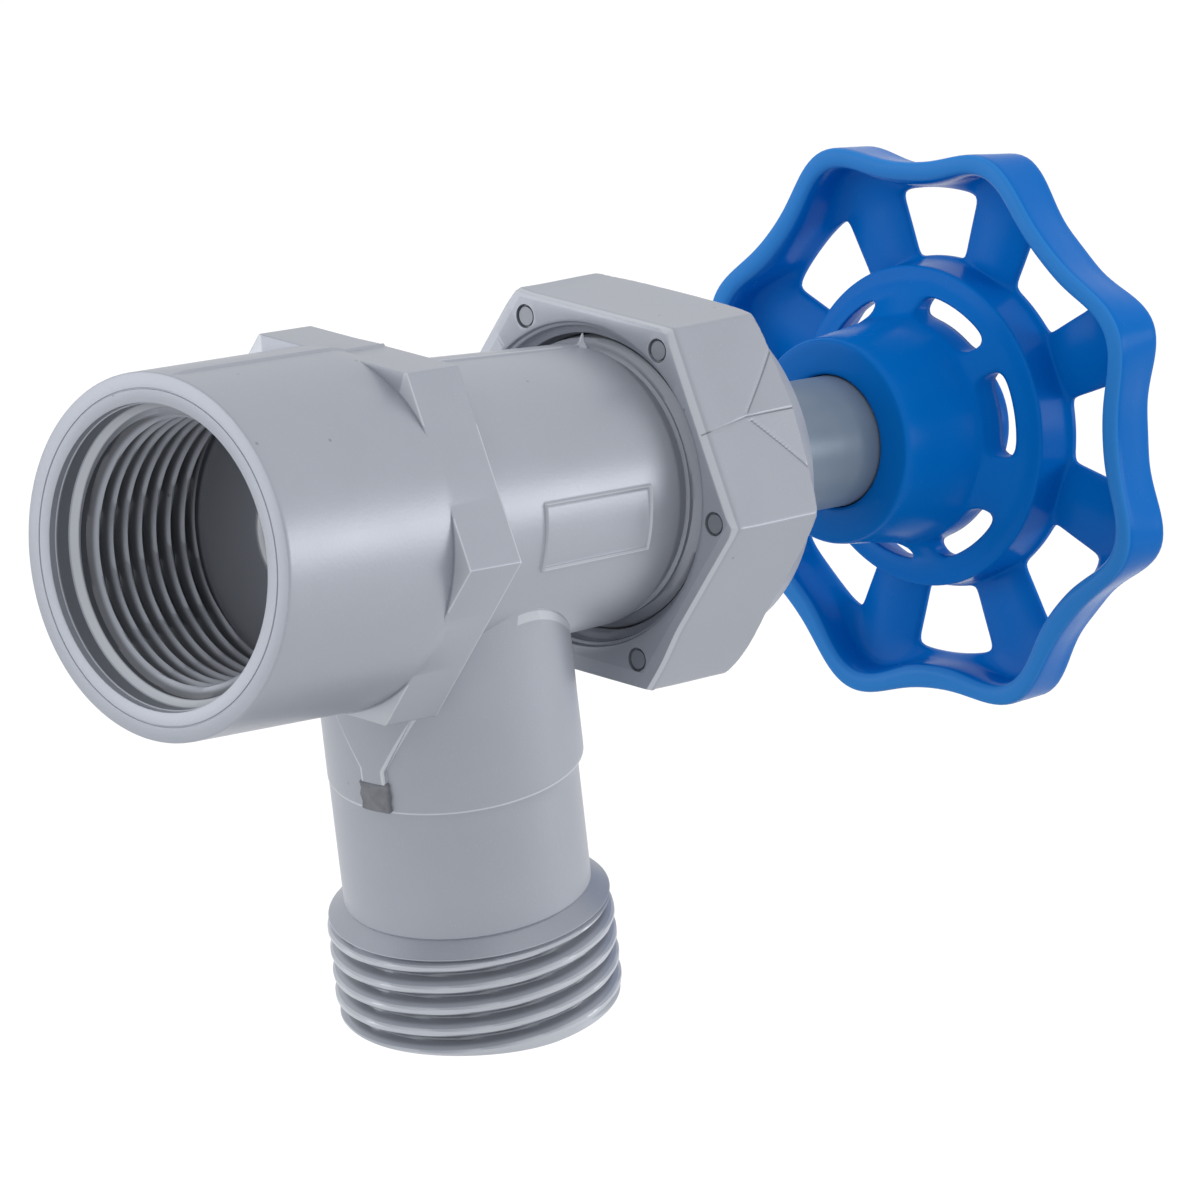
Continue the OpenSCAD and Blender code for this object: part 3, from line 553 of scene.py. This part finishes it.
def window_angles(half):
    """Angles of the cage's columns where a window spans half an angle each way."""
    side = (half + 22.5) / 2
    steps = (-22.5, -side, -half, -0.6 * half, -0.2 * half, 0.2 * half, 0.6 * half, half, side)
    return np.radians([WINDOW_TURN + 45 * k + a for k in range(8) for a in steps])


def wheel_outline(angles, back):
    """Radius of the lobed rim, from its front edge, back 0, to its rear edge, back 1."""
    lobe = WHEEL_LOBES * (angles - math.radians(LOBE_TURN))
    front = 27.05 + 1.395 / SUBDIVIDED * np.cos(lobe) + 0.15 / SUBDIVIDED_DOUBLE * np.cos(2 * lobe)
    rear = 26.38 + 1.68 / SUBDIVIDED * np.cos(lobe) + 0.34 / SUBDIVIDED_DOUBLE * np.cos(2 * lobe)
    return front + (rear - front) * back


def square_hole(angles):
    """Radius of the square hole that the stem's square fills."""
    return 4.25 / np.maximum(np.abs(np.cos(angles)), np.abs(np.sin(angles))) ** 0.94


def curve_x(r, q):
    """Place along the axis on the hollow curve from hub to flange, whose radius about its own centre is q."""
    return 98.3 + np.sqrt(q * q - (15.4 - r) ** 2)


def wheel_cage():
    """Rings of the cage, and where its windows and slots are."""
    w, s = window_angles(12.0), slot_angles
    mixed = (s + w) / 2
    spoke = 0.5 + 0.5 * np.cos(WHEEL_LOBES * (w - math.radians(LOBE_TURN)))
    crown = np.maximum(spoke - 0.5, 0)
    slot_low, slot_high = SLOT_IN + 0.5 * slot_end, SLOT_OUT - 0.5 * slot_end
    rings = [ring(x, r, s) for x, r in HUB_OUTSIDE]
    slot_front = len(rings)
    rings += [ring(curve_x(r, HUB_CURVE_FRONT), r, s) for r in (slot_low, slot_high)]
    rings += [ring(x, r, s) for x, r in FLANGE_FRONT]
    rings += [ring(x, r, mixed) for x, r in FLANGE_SIDE]
    window_front = len(rings)
    rings += [ring(106.95 - 1.3 * crown, r, window_angles(half)) for r, half in WINDOW_ROWS]
    inner = wheel_outline(w, 0.35) - RIM_WALL
    rings += [ring(x, inner + d, w) for x, d in RIM_INSIDE]
    rings += [ring(x, wheel_outline(w, back) - d, w) for x, back, d in RIM_OUTSIDE]
    window_rear = len(rings)
    rings += [ring(107.5 + 0.8 * crown, r, window_angles(half)) for r, half in reversed(WINDOW_ROWS)]
    rings += [ring(x, r, mixed) for x, r in WELL_SIDE] + [ring(104.8, 14.0, s)]
    slot_rear = len(rings)
    rings += [ring(curve_x(r, HUB_CURVE_REAR), r, s) for r in (slot_high, slot_low)]
    rings += [ring(x, r, s) for x, r in WELL_FLOOR]
    hole = square_hole(s)
    hole_rows = [(105.2, np.maximum(hole, 4.7)), (105.0, hole), (93.3, hole), (93.02, 5.9)]
    rings += [ring(x, r, s) for x, r in hole_rows]
    for loop in rings:
        far_out = fade(np.hypot(loop[:, 1], loop[:, 2]), 22.9, 25.0)
        skewed = RIM_SKEW * far_out * (1 - 0.7 * fade(loop[:, 0], 103.5, 107))
        loop[:, 0] -= loop[:, 2] * skewed
    return rings, slot_front, window_front, window_rear, slot_rear


def handwheel():
    rings, slot_front, window_front, window_rear, slot_rear = wheel_cage()
    count, around = len(rings), 72
    points = np.concatenate(rings) * MM
    slot_columns = [[24 * k + c for c in cells] for k in range(3) for cells in SLOT_CELLS]
    window_columns = [[9 * k + c for c in WINDOW_CELLS] for k in range(8)]
    gone = {(row, c) for row in (slot_front, slot_rear) for columns in slot_columns for c in columns}
    window_bands = [row + d for row in (window_front, window_rear) for d in range(3)]
    gone |= {(row, c) for row in window_bands for columns in window_columns for c in columns}

    def corner(row, column):
        return row % count * around + column % around

    faces = [(corner(i, j), corner(i, j + 1), corner(i + 1, j + 1), corner(i + 1, j))
        for i in range(count) for j in range(around) if (i, j) not in gone]
    walls, crisp = [], set()
    for front, rear, deep, openings in [(slot_front, slot_rear, 1, slot_columns),
            (window_front, window_rear, 3, window_columns)]:
        for columns in openings:
            low, high = columns[0], columns[-1] + 1
            loop = [(0, c) for c in range(low, high)] + [(d, high) for d in range(deep)]
            loop += [(deep, c) for c in range(high, low, -1)] + [(d, low) for d in range(deep, 0, -1)]
            near = [corner(front + d, c) for d, c in loop]
            far = [corner(rear + deep - d, c) for d, c in loop]
            for n in range(len(loop)):
                m = (n + 1) % len(loop)
                walls.append((near[n], near[m], far[m], far[n]))
                crisp |= {frozenset((near[n], near[m])), frozenset((far[n], far[m]))}
    mesh = bpy.data.meshes.new("handwheel_moulding")
    mesh.from_pydata(points.tolist(), [], faces + walls)
    tidy = bmesh.new()
    tidy.from_mesh(mesh)
    bmesh.ops.recalc_face_normals(tidy, faces=tidy.faces)
    crease = tidy.edges.layers.float.new("crease_edge")
    for edge in tidy.edges:
        if frozenset(v.index for v in edge.verts) in crisp:
            edge[crease] = CREASE
    tidy.to_mesh(mesh)
    tidy.free()
    wheel = bpy.data.objects.new("handwheel_moulding", mesh)
    bpy.context.scene.collection.objects.link(wheel)
    smooth = wheel.modifiers.new("smooth", "SUBSURF")
    smooth.levels = smooth.render_levels = 2
    settle(wheel)
    wheel.data.shade_smooth()
    return wheel


wheel = handwheel()
print("the wheel has", len(wheel.data.polygons), "faces")

# %% [markdown]
# ## Writing a finish
# A finish is a small network of nodes. The nodes could be made and linked one by one, but wrapping each
# socket lets the sums in it be written as ordinary maths, and one method makes every other kind of node.

# %% Socket and finish helpers
class Socket:
    """An output socket that takes part in sums."""

    def __init__(self, finish, output):
        self.finish, self.output = finish, output

    def sum(self, operation, first, second):
        return self.finish.node("ShaderNodeMath", {"operation": operation}, {0: first, 1: second})

    def root(self):
        return self.sum("SQRT", self, 0.0)

    def size(self):
        return self.sum("ABSOLUTE", self, 0.0)

    def turn(self):
        """The angle whose tangent this is, in radians."""
        return self.sum("ARCTANGENT", self, 0.0)

    def at_least(self, other):
        return self.sum("MAXIMUM", self, other)

    def at_most(self, other):
        return self.sum("MINIMUM", self, other)

    def __add__(self, other):
        return self.sum("ADD", self, other)

    def __radd__(self, other):
        return self.sum("ADD", other, self)

    def __sub__(self, other):
        return self.sum("SUBTRACT", self, other)

    def __rsub__(self, other):
        return self.sum("SUBTRACT", other, self)

    def __mul__(self, other):
        return self.sum("MULTIPLY", self, other)

    def __rmul__(self, other):
        return self.sum("MULTIPLY", other, self)

    def __truediv__(self, other):
        return self.sum("DIVIDE", self, other)

    def __rtruediv__(self, other):
        return self.sum("DIVIDE", other, self)


class Finish:
    """A material with one principled shader."""

    def __init__(self, name):
        self.material = bpy.data.materials.new(name)
        self.material.use_nodes = True
        self.tree = self.material.node_tree
        self.shader = next(n for n in self.tree.nodes if n.type == "BSDF_PRINCIPLED")
        self.place = self.node("ShaderNodeTexCoord", output="Object")

    def node(self, kind, settings=None, sockets=None, output=0):
        """Adds a node, sets its settings, then its sockets, and gives back one of its outputs."""
        made = self.tree.nodes.new(kind)
        for name, value in (settings or {}).items():
            setattr(made, name, value)
        for name, value in (sockets or {}).items():
            self.feed(made.inputs[name], value)
        return Socket(self, made.outputs[output])

    def feed(self, socket, value):
        if isinstance(value, Socket):
            self.tree.links.new(value.output, socket)
        else:
            socket.default_value = value

    def set(self, **values):
        for name, value in values.items():
            self.feed(self.shader.inputs[name.replace("_", " ")], value)

    def blend(self, share, first, second):
        """One colour going over into another."""
        return self.node("ShaderNodeMix", {"data_type": "RGBA"}, {0: share, 6: first, 7: second}, output=2)

    def axes(self):
        """Where the surface lies along X, Y and Z."""
        return [self.node("ShaderNodeSeparateXYZ", {}, {0: self.place}, output=axis) for axis in "XYZ"]

    def speckle(self, per_metre, detail=2.0, roughness=0.5):
        """A cloudy value between 0 and 1."""
        sockets = {"Vector": self.place, "Scale": per_metre, "Detail": detail, "Roughness": roughness}
        return self.node("ShaderNodeTexNoise", {}, sockets, output="Fac")

    def between(self, value, low, high):
        """0 below low, 1 above high, eased in between."""
        sockets = {"Value": value, "From Min": low, "From Max": high, "To Min": 0.0, "To Max": 1.0}
        return self.node("ShaderNodeMapRange", {"interpolation_type": "SMOOTHSTEP"}, sockets)

    def band(self, length, low, high, soft=0.06):
        """1 where a length lies between low and high, all in millimetres."""
        over = self.between(length, (low - soft) * MM, low * MM)
        return over * (1 - self.between(length, high * MM, (high + soft) * MM))

    def relief(self, height, depth_mm, strength):
        sockets = {"Height": height, "Distance": depth_mm * MM, "Strength": strength}
        return self.node("ShaderNodeBump", {}, sockets)


print("finishes can be written")

# %% [markdown]
# ## Painted highlights on edges and painted shade in grooves
# Edges that stand proud and the seat get a painted highlight, and grooves, pits, the seam, the V's arms, the
# mouth's step and the bore get painted shade. A mask could be taken from how sharply the mesh bends, but the
# long thin faces that the cuts leave behind put streaks in it. So each mask is written from the place of its
# edge, measured along and round the valve's axis or the outlet's.

# %% Masks for edges and grooves
def nut_marks(finish, x, y, z, r):
    """Painted highlight on the nut's front edge, and painted shade in its pits, seam and V."""
    flat_cos, flat_sin = 0.866, 0.5
    slant, other = y * flat_cos + z * flat_sin, z * flat_sin - y * flat_cos
    rim = finish.band(slant.size().at_least(other.size()).at_least(z.size()), 16.3, 30)
    # The front edge gets a painted highlight; the pits, the seam and the V's arms get painted shade.
    edge = finish.band(x, NUT_X + 0.05, NUT_X + 0.5, 0.1) * rim
    pits = finish.band(x, NUT_X + 0.1, NUT_X + 0.5) * finish.band(r, 15.9, 18.5) * (1 - rim)
    from_seam = (((z + 0.2 * MM) / (0 - y)).turn() - math.radians(V_TURN)) * (FLAT_R * MM)
    past_v_start = x - V_START * MM
    arm = past_v_start.at_least(0.0) * (FLAT_R * math.radians(V_HALF) / (NUT_FLATS - V_START))
    arms = finish.band(from_seam.size() - arm, -0.02, 0.14, 0.08) * finish.between(past_v_start, 0, 0.5 * MM)
    lag = past_v_start.at_most(0.0) * (FLAT_R * math.radians(SEAM_LAG) / (V_START - NUT_X))
    seam = finish.band((from_seam - lag).size(), -1, 0.03, 0.1)
    outside = finish.band(r, 16.5, 23) * finish.band(x, NUT_X + 0.2, NUT_FLATS)
    return edge * 0.36, pits * 0.4 + (arms * 0.5 + seam * 0.6) * outside


def body_marks(finish, x, r, outlet_r):
    """Painted highlights on the edges of the collar, the plate, the seat and the inlet's cone, and painted
    shade in the inlet's grooves, step and port.
    """
    # Collar, plate, seat and cone edges get painted highlights; the inlet's grooves, step and port get
    # painted shade.
    collar = finish.band(x, COLLAR_END - 0.2, COLLAR_END + 0.1) * finish.band(r, 15.6, 19.2)
    collar = collar + finish.band(x, COLLAR_X - 0.1, COLLAR_X + 0.15) * finish.band(r, 17.1, 19.2)
    collar = collar * finish.between(outlet_r, 12.8 * MM, 13.0 * MM)
    proud = r + x * BARREL_TAPER - (BARREL_START_R + COLLAR_END * BARREL_TAPER) * MM
    plate = finish.band(proud, 0.16, 0.6) * finish.band(x, PLATE_X - 1, PLATE_END + 1)
    seat_edge = finish.band(x, 18.56, 19.4) * finish.band(r, 4, 5.85)
    cone = finish.band(x, 2.5, 3.0) * finish.band(r, 13.2, 14.0)
    grooves = finish.band(x, 3.2, 18.0, 0.3) * finish.band(r, 12.9, 13.5, 0.5)
    step = finish.band(x, 1.0, 2.3) * finish.band(r, 13.8, 14.15)
    port = finish.band(x, 19.5, 26) * finish.band(r, 4, 5.4)
    light = collar * 0.45 + plate * 0.4 + seat_edge + cone * 0.5
    return light, grooves * 0.8 + step * 0.5 + port * 0.45


def outlet_marks(finish, y, along, aside, outlet_r):
    """Painted highlights on the edges of the tongue, the sleeve and the hose thread, and painted shade in the
    thread's grooves.
    """
    # The tongue's edges, the sleeve's step and the thread's crests get painted highlights; its grooves get
    # painted shade.
    half = (TONGUE_HALF + TONGUE_FROM * TONGUE_NARROWS) * MM - along * TONGUE_NARROWS
    half = half.at_least(TONGUE_LEAST * MM)
    off_middle = (y + (SLEEVE_R * math.sin(math.radians(GATE_TURN)) + 0.2) * MM).size()
    tongue = finish.band(off_middle - half, -0.32, -0.02) * finish.band(along, 15.5, 22.3, 0.6)
    tongue = tongue * (1 - finish.between(aside, -6 * MM, -5 * MM)) * finish.band(outlet_r, 11, 12.7)
    sleeve = finish.band(along, SLEEVE_END - 0.2, SLEEVE_END + 0.02) * finish.band(outlet_r, 11.6, 13)
    crests = finish.band(along, 39.2, 60) * finish.band(outlet_r, 13.25, 14)
    grooves = finish.band(along, 40.2, 49) * finish.band(outlet_r, 11, 12.6, 0.4)
    return tongue * 0.5 + sleeve * 0.5 + crests * 0.4, grooves * 0.45


def painted_highlight_and_shade(finish):
    """Where the mouldings get a painted highlight, and where they get painted shade, each from 0 to 1."""
    x, y, z = finish.axes()
    r = (y * y + z * z).root()
    lean_sin, lean_cos = math.sin(OUTLET_LEAN), math.cos(OUTLET_LEAN)
    along = (x - OUTLET_FROM * MM) * lean_sin - z * lean_cos
    aside = (x - OUTLET_FROM * MM) * lean_cos + z * lean_sin
    outlet_r = (y * y + aside * aside).root()
    nut_light, nut_dark = nut_marks(finish, x, y, z, r)
    body_light, body_dark = body_marks(finish, x, r, outlet_r)
    outlet_light, outlet_dark = outlet_marks(finish, y, along, aside, outlet_r)
    return nut_light + body_light + outlet_light, nut_dark + body_dark + outlet_dark


print("masks can be written")

# %% [markdown]
# ## Silver-grey moulded plastic
# The body and the nut are plastic with a little metal flake, left as they came from the mould. Plain grey
# would look like card, so the flake gives a soft sheen, flow lines leave faint clouds, the mould's fine
# texture breaks up reflections, and a few dark specks are scattered over it. The masks above paint
# highlights on the edges and paint shade into the grooves.

# %% Silver-grey plastic
SILVER, SILVER_PALE, GLINT = (0.335, 0.356, 0.408, 1), (0.377, 0.401, 0.458, 1), (0.5, 0.52, 0.57, 1)
# The pale edge colour is a painted highlight, and the near-black one is painted shade.
SPECK, PAINTED_HIGHLIGHT, SHADED = (0.12, 0.12, 0.13, 1), (0.72, 0.75, 0.8, 1), (0.05, 0.055, 0.065, 1)


def silver_plastic():
    finish = Finish("silver_grey_plastic")
    clouds = finish.speckle(90, 3.0, 0.6)
    glint = finish.between(finish.speckle(5200, 1.0), 0.6, 0.85)
    colour = finish.blend(glint * 0.3, finish.blend(clouds, SILVER, SILVER_PALE), GLINT)
    sockets = {"Vector": finish.place, "Scale": 190.0}
    cells = finish.node("ShaderNodeTexVoronoi", {"feature": "F1"}, sockets, output="Distance")
    colour = finish.blend((1 - finish.between(cells, 0.02, 0.045)) * 0.5, colour, SPECK)
    # Edges and the seat are painted lighter as highlights; grooves, pits and the bore are painted darker as
    # shade.
    light, dark = painted_highlight_and_shade(finish)
    colour = finish.blend(dark, finish.blend(light, colour, PAINTED_HIGHLIGHT), SHADED)
    grain = finish.speckle(2600, 2.0) * 0.5 + finish.speckle(420, 2.0) * 0.5
    finish.set(Base_Color=colour, Roughness=0.31 + clouds * 0.12, Metallic=0.28)
    finish.set(Normal=finish.relief(grain, 0.035, 0.5))
    return finish.material


silver = silver_plastic()
print("made", silver.name)

# %% [markdown]
# ## The other finishes
# The stem is darker and bluer than the body. The wheel is glossy blue with faint clouds and scuffs, and a
# painted highlight makes its front lip a little paler. The snapped gate is rough, and painted shade makes it
# dark. Rubber, packing, brass and steel are inside or behind the wheel, so they share one plain recipe
# instead of a network each.

# %% Stem, wheel, rubber, packing and metal
def stem_plastic():
    finish = Finish("stem_grey_plastic")
    clouds = finish.speckle(160, 3.0, 0.6)
    colour = finish.blend(clouds, (0.185, 0.24, 0.3, 1), (0.225, 0.28, 0.35, 1))
    finish.set(Base_Color=colour, Roughness=0.32 + clouds * 0.1, Metallic=0.15)
    finish.set(Normal=finish.relief(finish.speckle(1800, 2.0), 0.03, 0.4))
    return finish.material


def wheel_plastic():
    finish = Finish("glossy_blue_plastic")
    clouds = finish.speckle(60, 2.0, 0.5)
    colour = finish.blend(clouds, (0.0, 0.13, 0.49, 1), (0.001, 0.156, 0.57, 1))
    x, y, z = finish.axes()
    # The front lip gets a painted highlight, a paler blue.
    outer = finish.between((y * y + z * z).root(), 21 * MM, 22 * MM)
    lip = finish.band(x + z * RIM_SKEW, 101.9, 102.5, 0.25) * outer
    colour = finish.blend(lip * 0.3, colour, (0.1, 0.4, 0.85, 1))
    scuffs = finish.between(finish.speckle(700, 4.0, 0.7), 0.58, 0.8)
    finish.set(Base_Color=colour, Roughness=0.24 + scuffs * 0.14, IOR=1.14)
    finish.set(Normal=finish.relief(finish.speckle(300, 2.0), 0.03, 0.35))
    return finish.material


def plain_finish(name, dark, light, roughness, metallic, grain_per_metre):
    finish = Finish(name)
    clouds = finish.speckle(grain_per_metre / 8, 3.0)
    finish.set(Base_Color=finish.blend(clouds, dark, light), Roughness=roughness + clouds * 0.1)
    finish.set(Metallic=metallic, Normal=finish.relief(finish.speckle(grain_per_metre, 2.0), 0.02, 0.4))
    return finish.material


stem_grey, wheel_blue = stem_plastic(), wheel_plastic()
rubber = plain_finish("black_rubber", (0.012, 0.012, 0.013, 1), (0.028, 0.028, 0.03, 1), 0.6, 0.0, 2400)
packing = plain_finish("graphite_packing", (0.03, 0.03, 0.033, 1), (0.06, 0.06, 0.065, 1), 0.5, 0.0, 3600)
brass = plain_finish("turned_brass", (0.62, 0.42, 0.16, 1), (0.74, 0.53, 0.24, 1), 0.26, 1.0, 1500)
steel = plain_finish("plain_steel", (0.46, 0.46, 0.47, 1), (0.58, 0.58, 0.6, 1), 0.3, 1.0, 1500)
# The gate scar's dark grey is painted shade.
scar_grey_painted_shade = plain_finish("scar_grey_painted_shade_plastic", (0.05, 0.055, 0.065, 1), (0.32, 0.33, 0.37, 1), 0.6, 0.0, 5200)
others = (scar_grey_painted_shade, stem_grey, wheel_blue, rubber, packing, brass, steel)
print("made", ", ".join(material.name for material in others))

# %% [markdown]
# ## Dressing the pieces
# The three mouldings take the place of their plain solids, and the gate's torn block rides along on the
# valve. Every piece could be modelled anew, but what is hidden or plain already has the right shape, so it
# keeps its solid and only gets a finish.

# %% Dress the pieces
fit_piece(body, "valve", "valve_body", silver)
fit_piece(nut, "valve", "bonnet_nut", silver)
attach(gate_scar, "valve")
gate_scar.data.materials.clear()
gate_scar.data.materials.append(scar_grey_painted_shade)
fit_piece(wheel, "spindle", "handwheel", wheel_blue)
KEPT_FINISHES = {"stem": stem_grey, "bonnet": stem_grey, "bonnet_gasket": rubber, "seat_washer": rubber,
    "stem_packing": packing, "packing_follower": brass, "disc_holder": brass, "seat_washer_screw": brass,
    "handwheel_washer": steel, "handwheel_screw": steel}
for name, finish in KEPT_FINISHES.items():
    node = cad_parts[name]
    node.data.materials.clear()
    node.data.materials.append(finish)
print("kept solids:", ", ".join(KEPT_FINISHES))

# %% [markdown]
# ## The studio
# The picture is a cut-out on white. A flat backdrop would do for one view, but the valve is looked at from
# all sides, so the set is a pale floor under a white sky, as in a light tent that is a little darker below.
# The floor lies twelve centimetres below the outlet and takes no part in the valve's soft light, which would
# otherwise come too strongly from below. A low wide lamp at the right draws the long sheen on the round
# parts, and a softer one behind on the left lights the socket's face.

# %% Floor, lamps and sky
FLOOR_DROP, FLOOR_GLOW, FLOOR_HALF = 0.12, 0.15, 6
LAMP_AIM, WHITE = Vector((0.055, 0, -0.01)), (1.0, 1.0, 1.0)


def paint_floor():
    finish = Finish("white_sweep")
    whitish = finish.blend(finish.speckle(3, 2.0), (0.9, 0.9, 0.9, 1), (0.92, 0.92, 0.92, 1))
    finish.set(Base_Color=whitish, Roughness=0.9, Emission_Color=(1, 1, 1, 1), Emission_Strength=FLOOR_GLOW)
    mesh = bpy.data.meshes.new("studio_floor")
    low, far = cad_low.z - FLOOR_DROP, FLOOR_HALF
    corner_points = [(-far, -far, low), (far, -far, low), (far, far, low), (-far, far, low)]
    mesh.from_pydata(corner_points, [], [(0, 1, 2, 3)])
    floor = bpy.data.objects.new("studio_floor", mesh)
    bpy.context.scene.collection.objects.link(floor)
    mesh.materials.append(finish.material)
    floor.visible_diffuse = False


def hang_lamp(name, place, width, height, watts):
    """A flat soft lamp that points at the valve's middle."""
    data = bpy.data.lights.new(name, "AREA")
    data.shape, data.size, data.size_y = "RECTANGLE", width, height
    data.energy, data.color = watts, WHITE
    lamp = bpy.data.objects.new(name, data)
    bpy.context.scene.collection.objects.link(lamp)
    lamp.location = place
    lamp.rotation_mode = "QUATERNION"
    lamp.rotation_quaternion = (LAMP_AIM - Vector(place)).to_track_quat("-Z", "Y")


def light_sky(seen, lit_below, lit_above):
    """A white sky: the camera sees one strength, and the valve is lit less from below than from above."""
    world = bpy.data.worlds.new("white_sky")
    world.use_nodes = True
    bpy.context.scene.world = world
    nodes, links = world.node_tree.nodes, world.node_tree.links
    sky = next(n for n in nodes if n.type == "BACKGROUND")
    sky.inputs["Color"].default_value = (1, 1, 1, 1)
    ray = nodes.new("ShaderNodeLightPath")
    pick = nodes.new("ShaderNodeMapRange")
    pick.inputs["To Max"].default_value = seen
    kinds = ("ShaderNodeTexCoord", "ShaderNodeSeparateXYZ", "ShaderNodeMapRange")
    towards, parts, height = (nodes.new(kind) for kind in kinds)
    rising = {"From Min": -0.5, "From Max": 0.5, "To Min": lit_below, "To Max": lit_above}
    for name, value in rising.items():
        height.inputs[name].default_value = value
    links.new(towards.outputs["Generated"], parts.inputs["Vector"])
    links.new(parts.outputs["Z"], height.inputs["Value"])
    links.new(height.outputs["Result"], pick.inputs["To Min"])
    links.new(ray.outputs["Is Camera Ray"], pick.inputs["Value"])
    links.new(pick.outputs["Result"], sky.inputs["Strength"])


paint_floor()
light_sky(seen=1.05, lit_below=0.6, lit_above=0.97)
hang_lamp("key_lamp", (0.71, -0.68, 0.13), 0.45, 0.24, 1.7)
hang_lamp("left_lamp", (-0.62, 0.62, -0.06), 0.6, 0.6, 2.5)
bpy.context.scene.view_settings.view_transform = "Standard"
print("lamps are on")
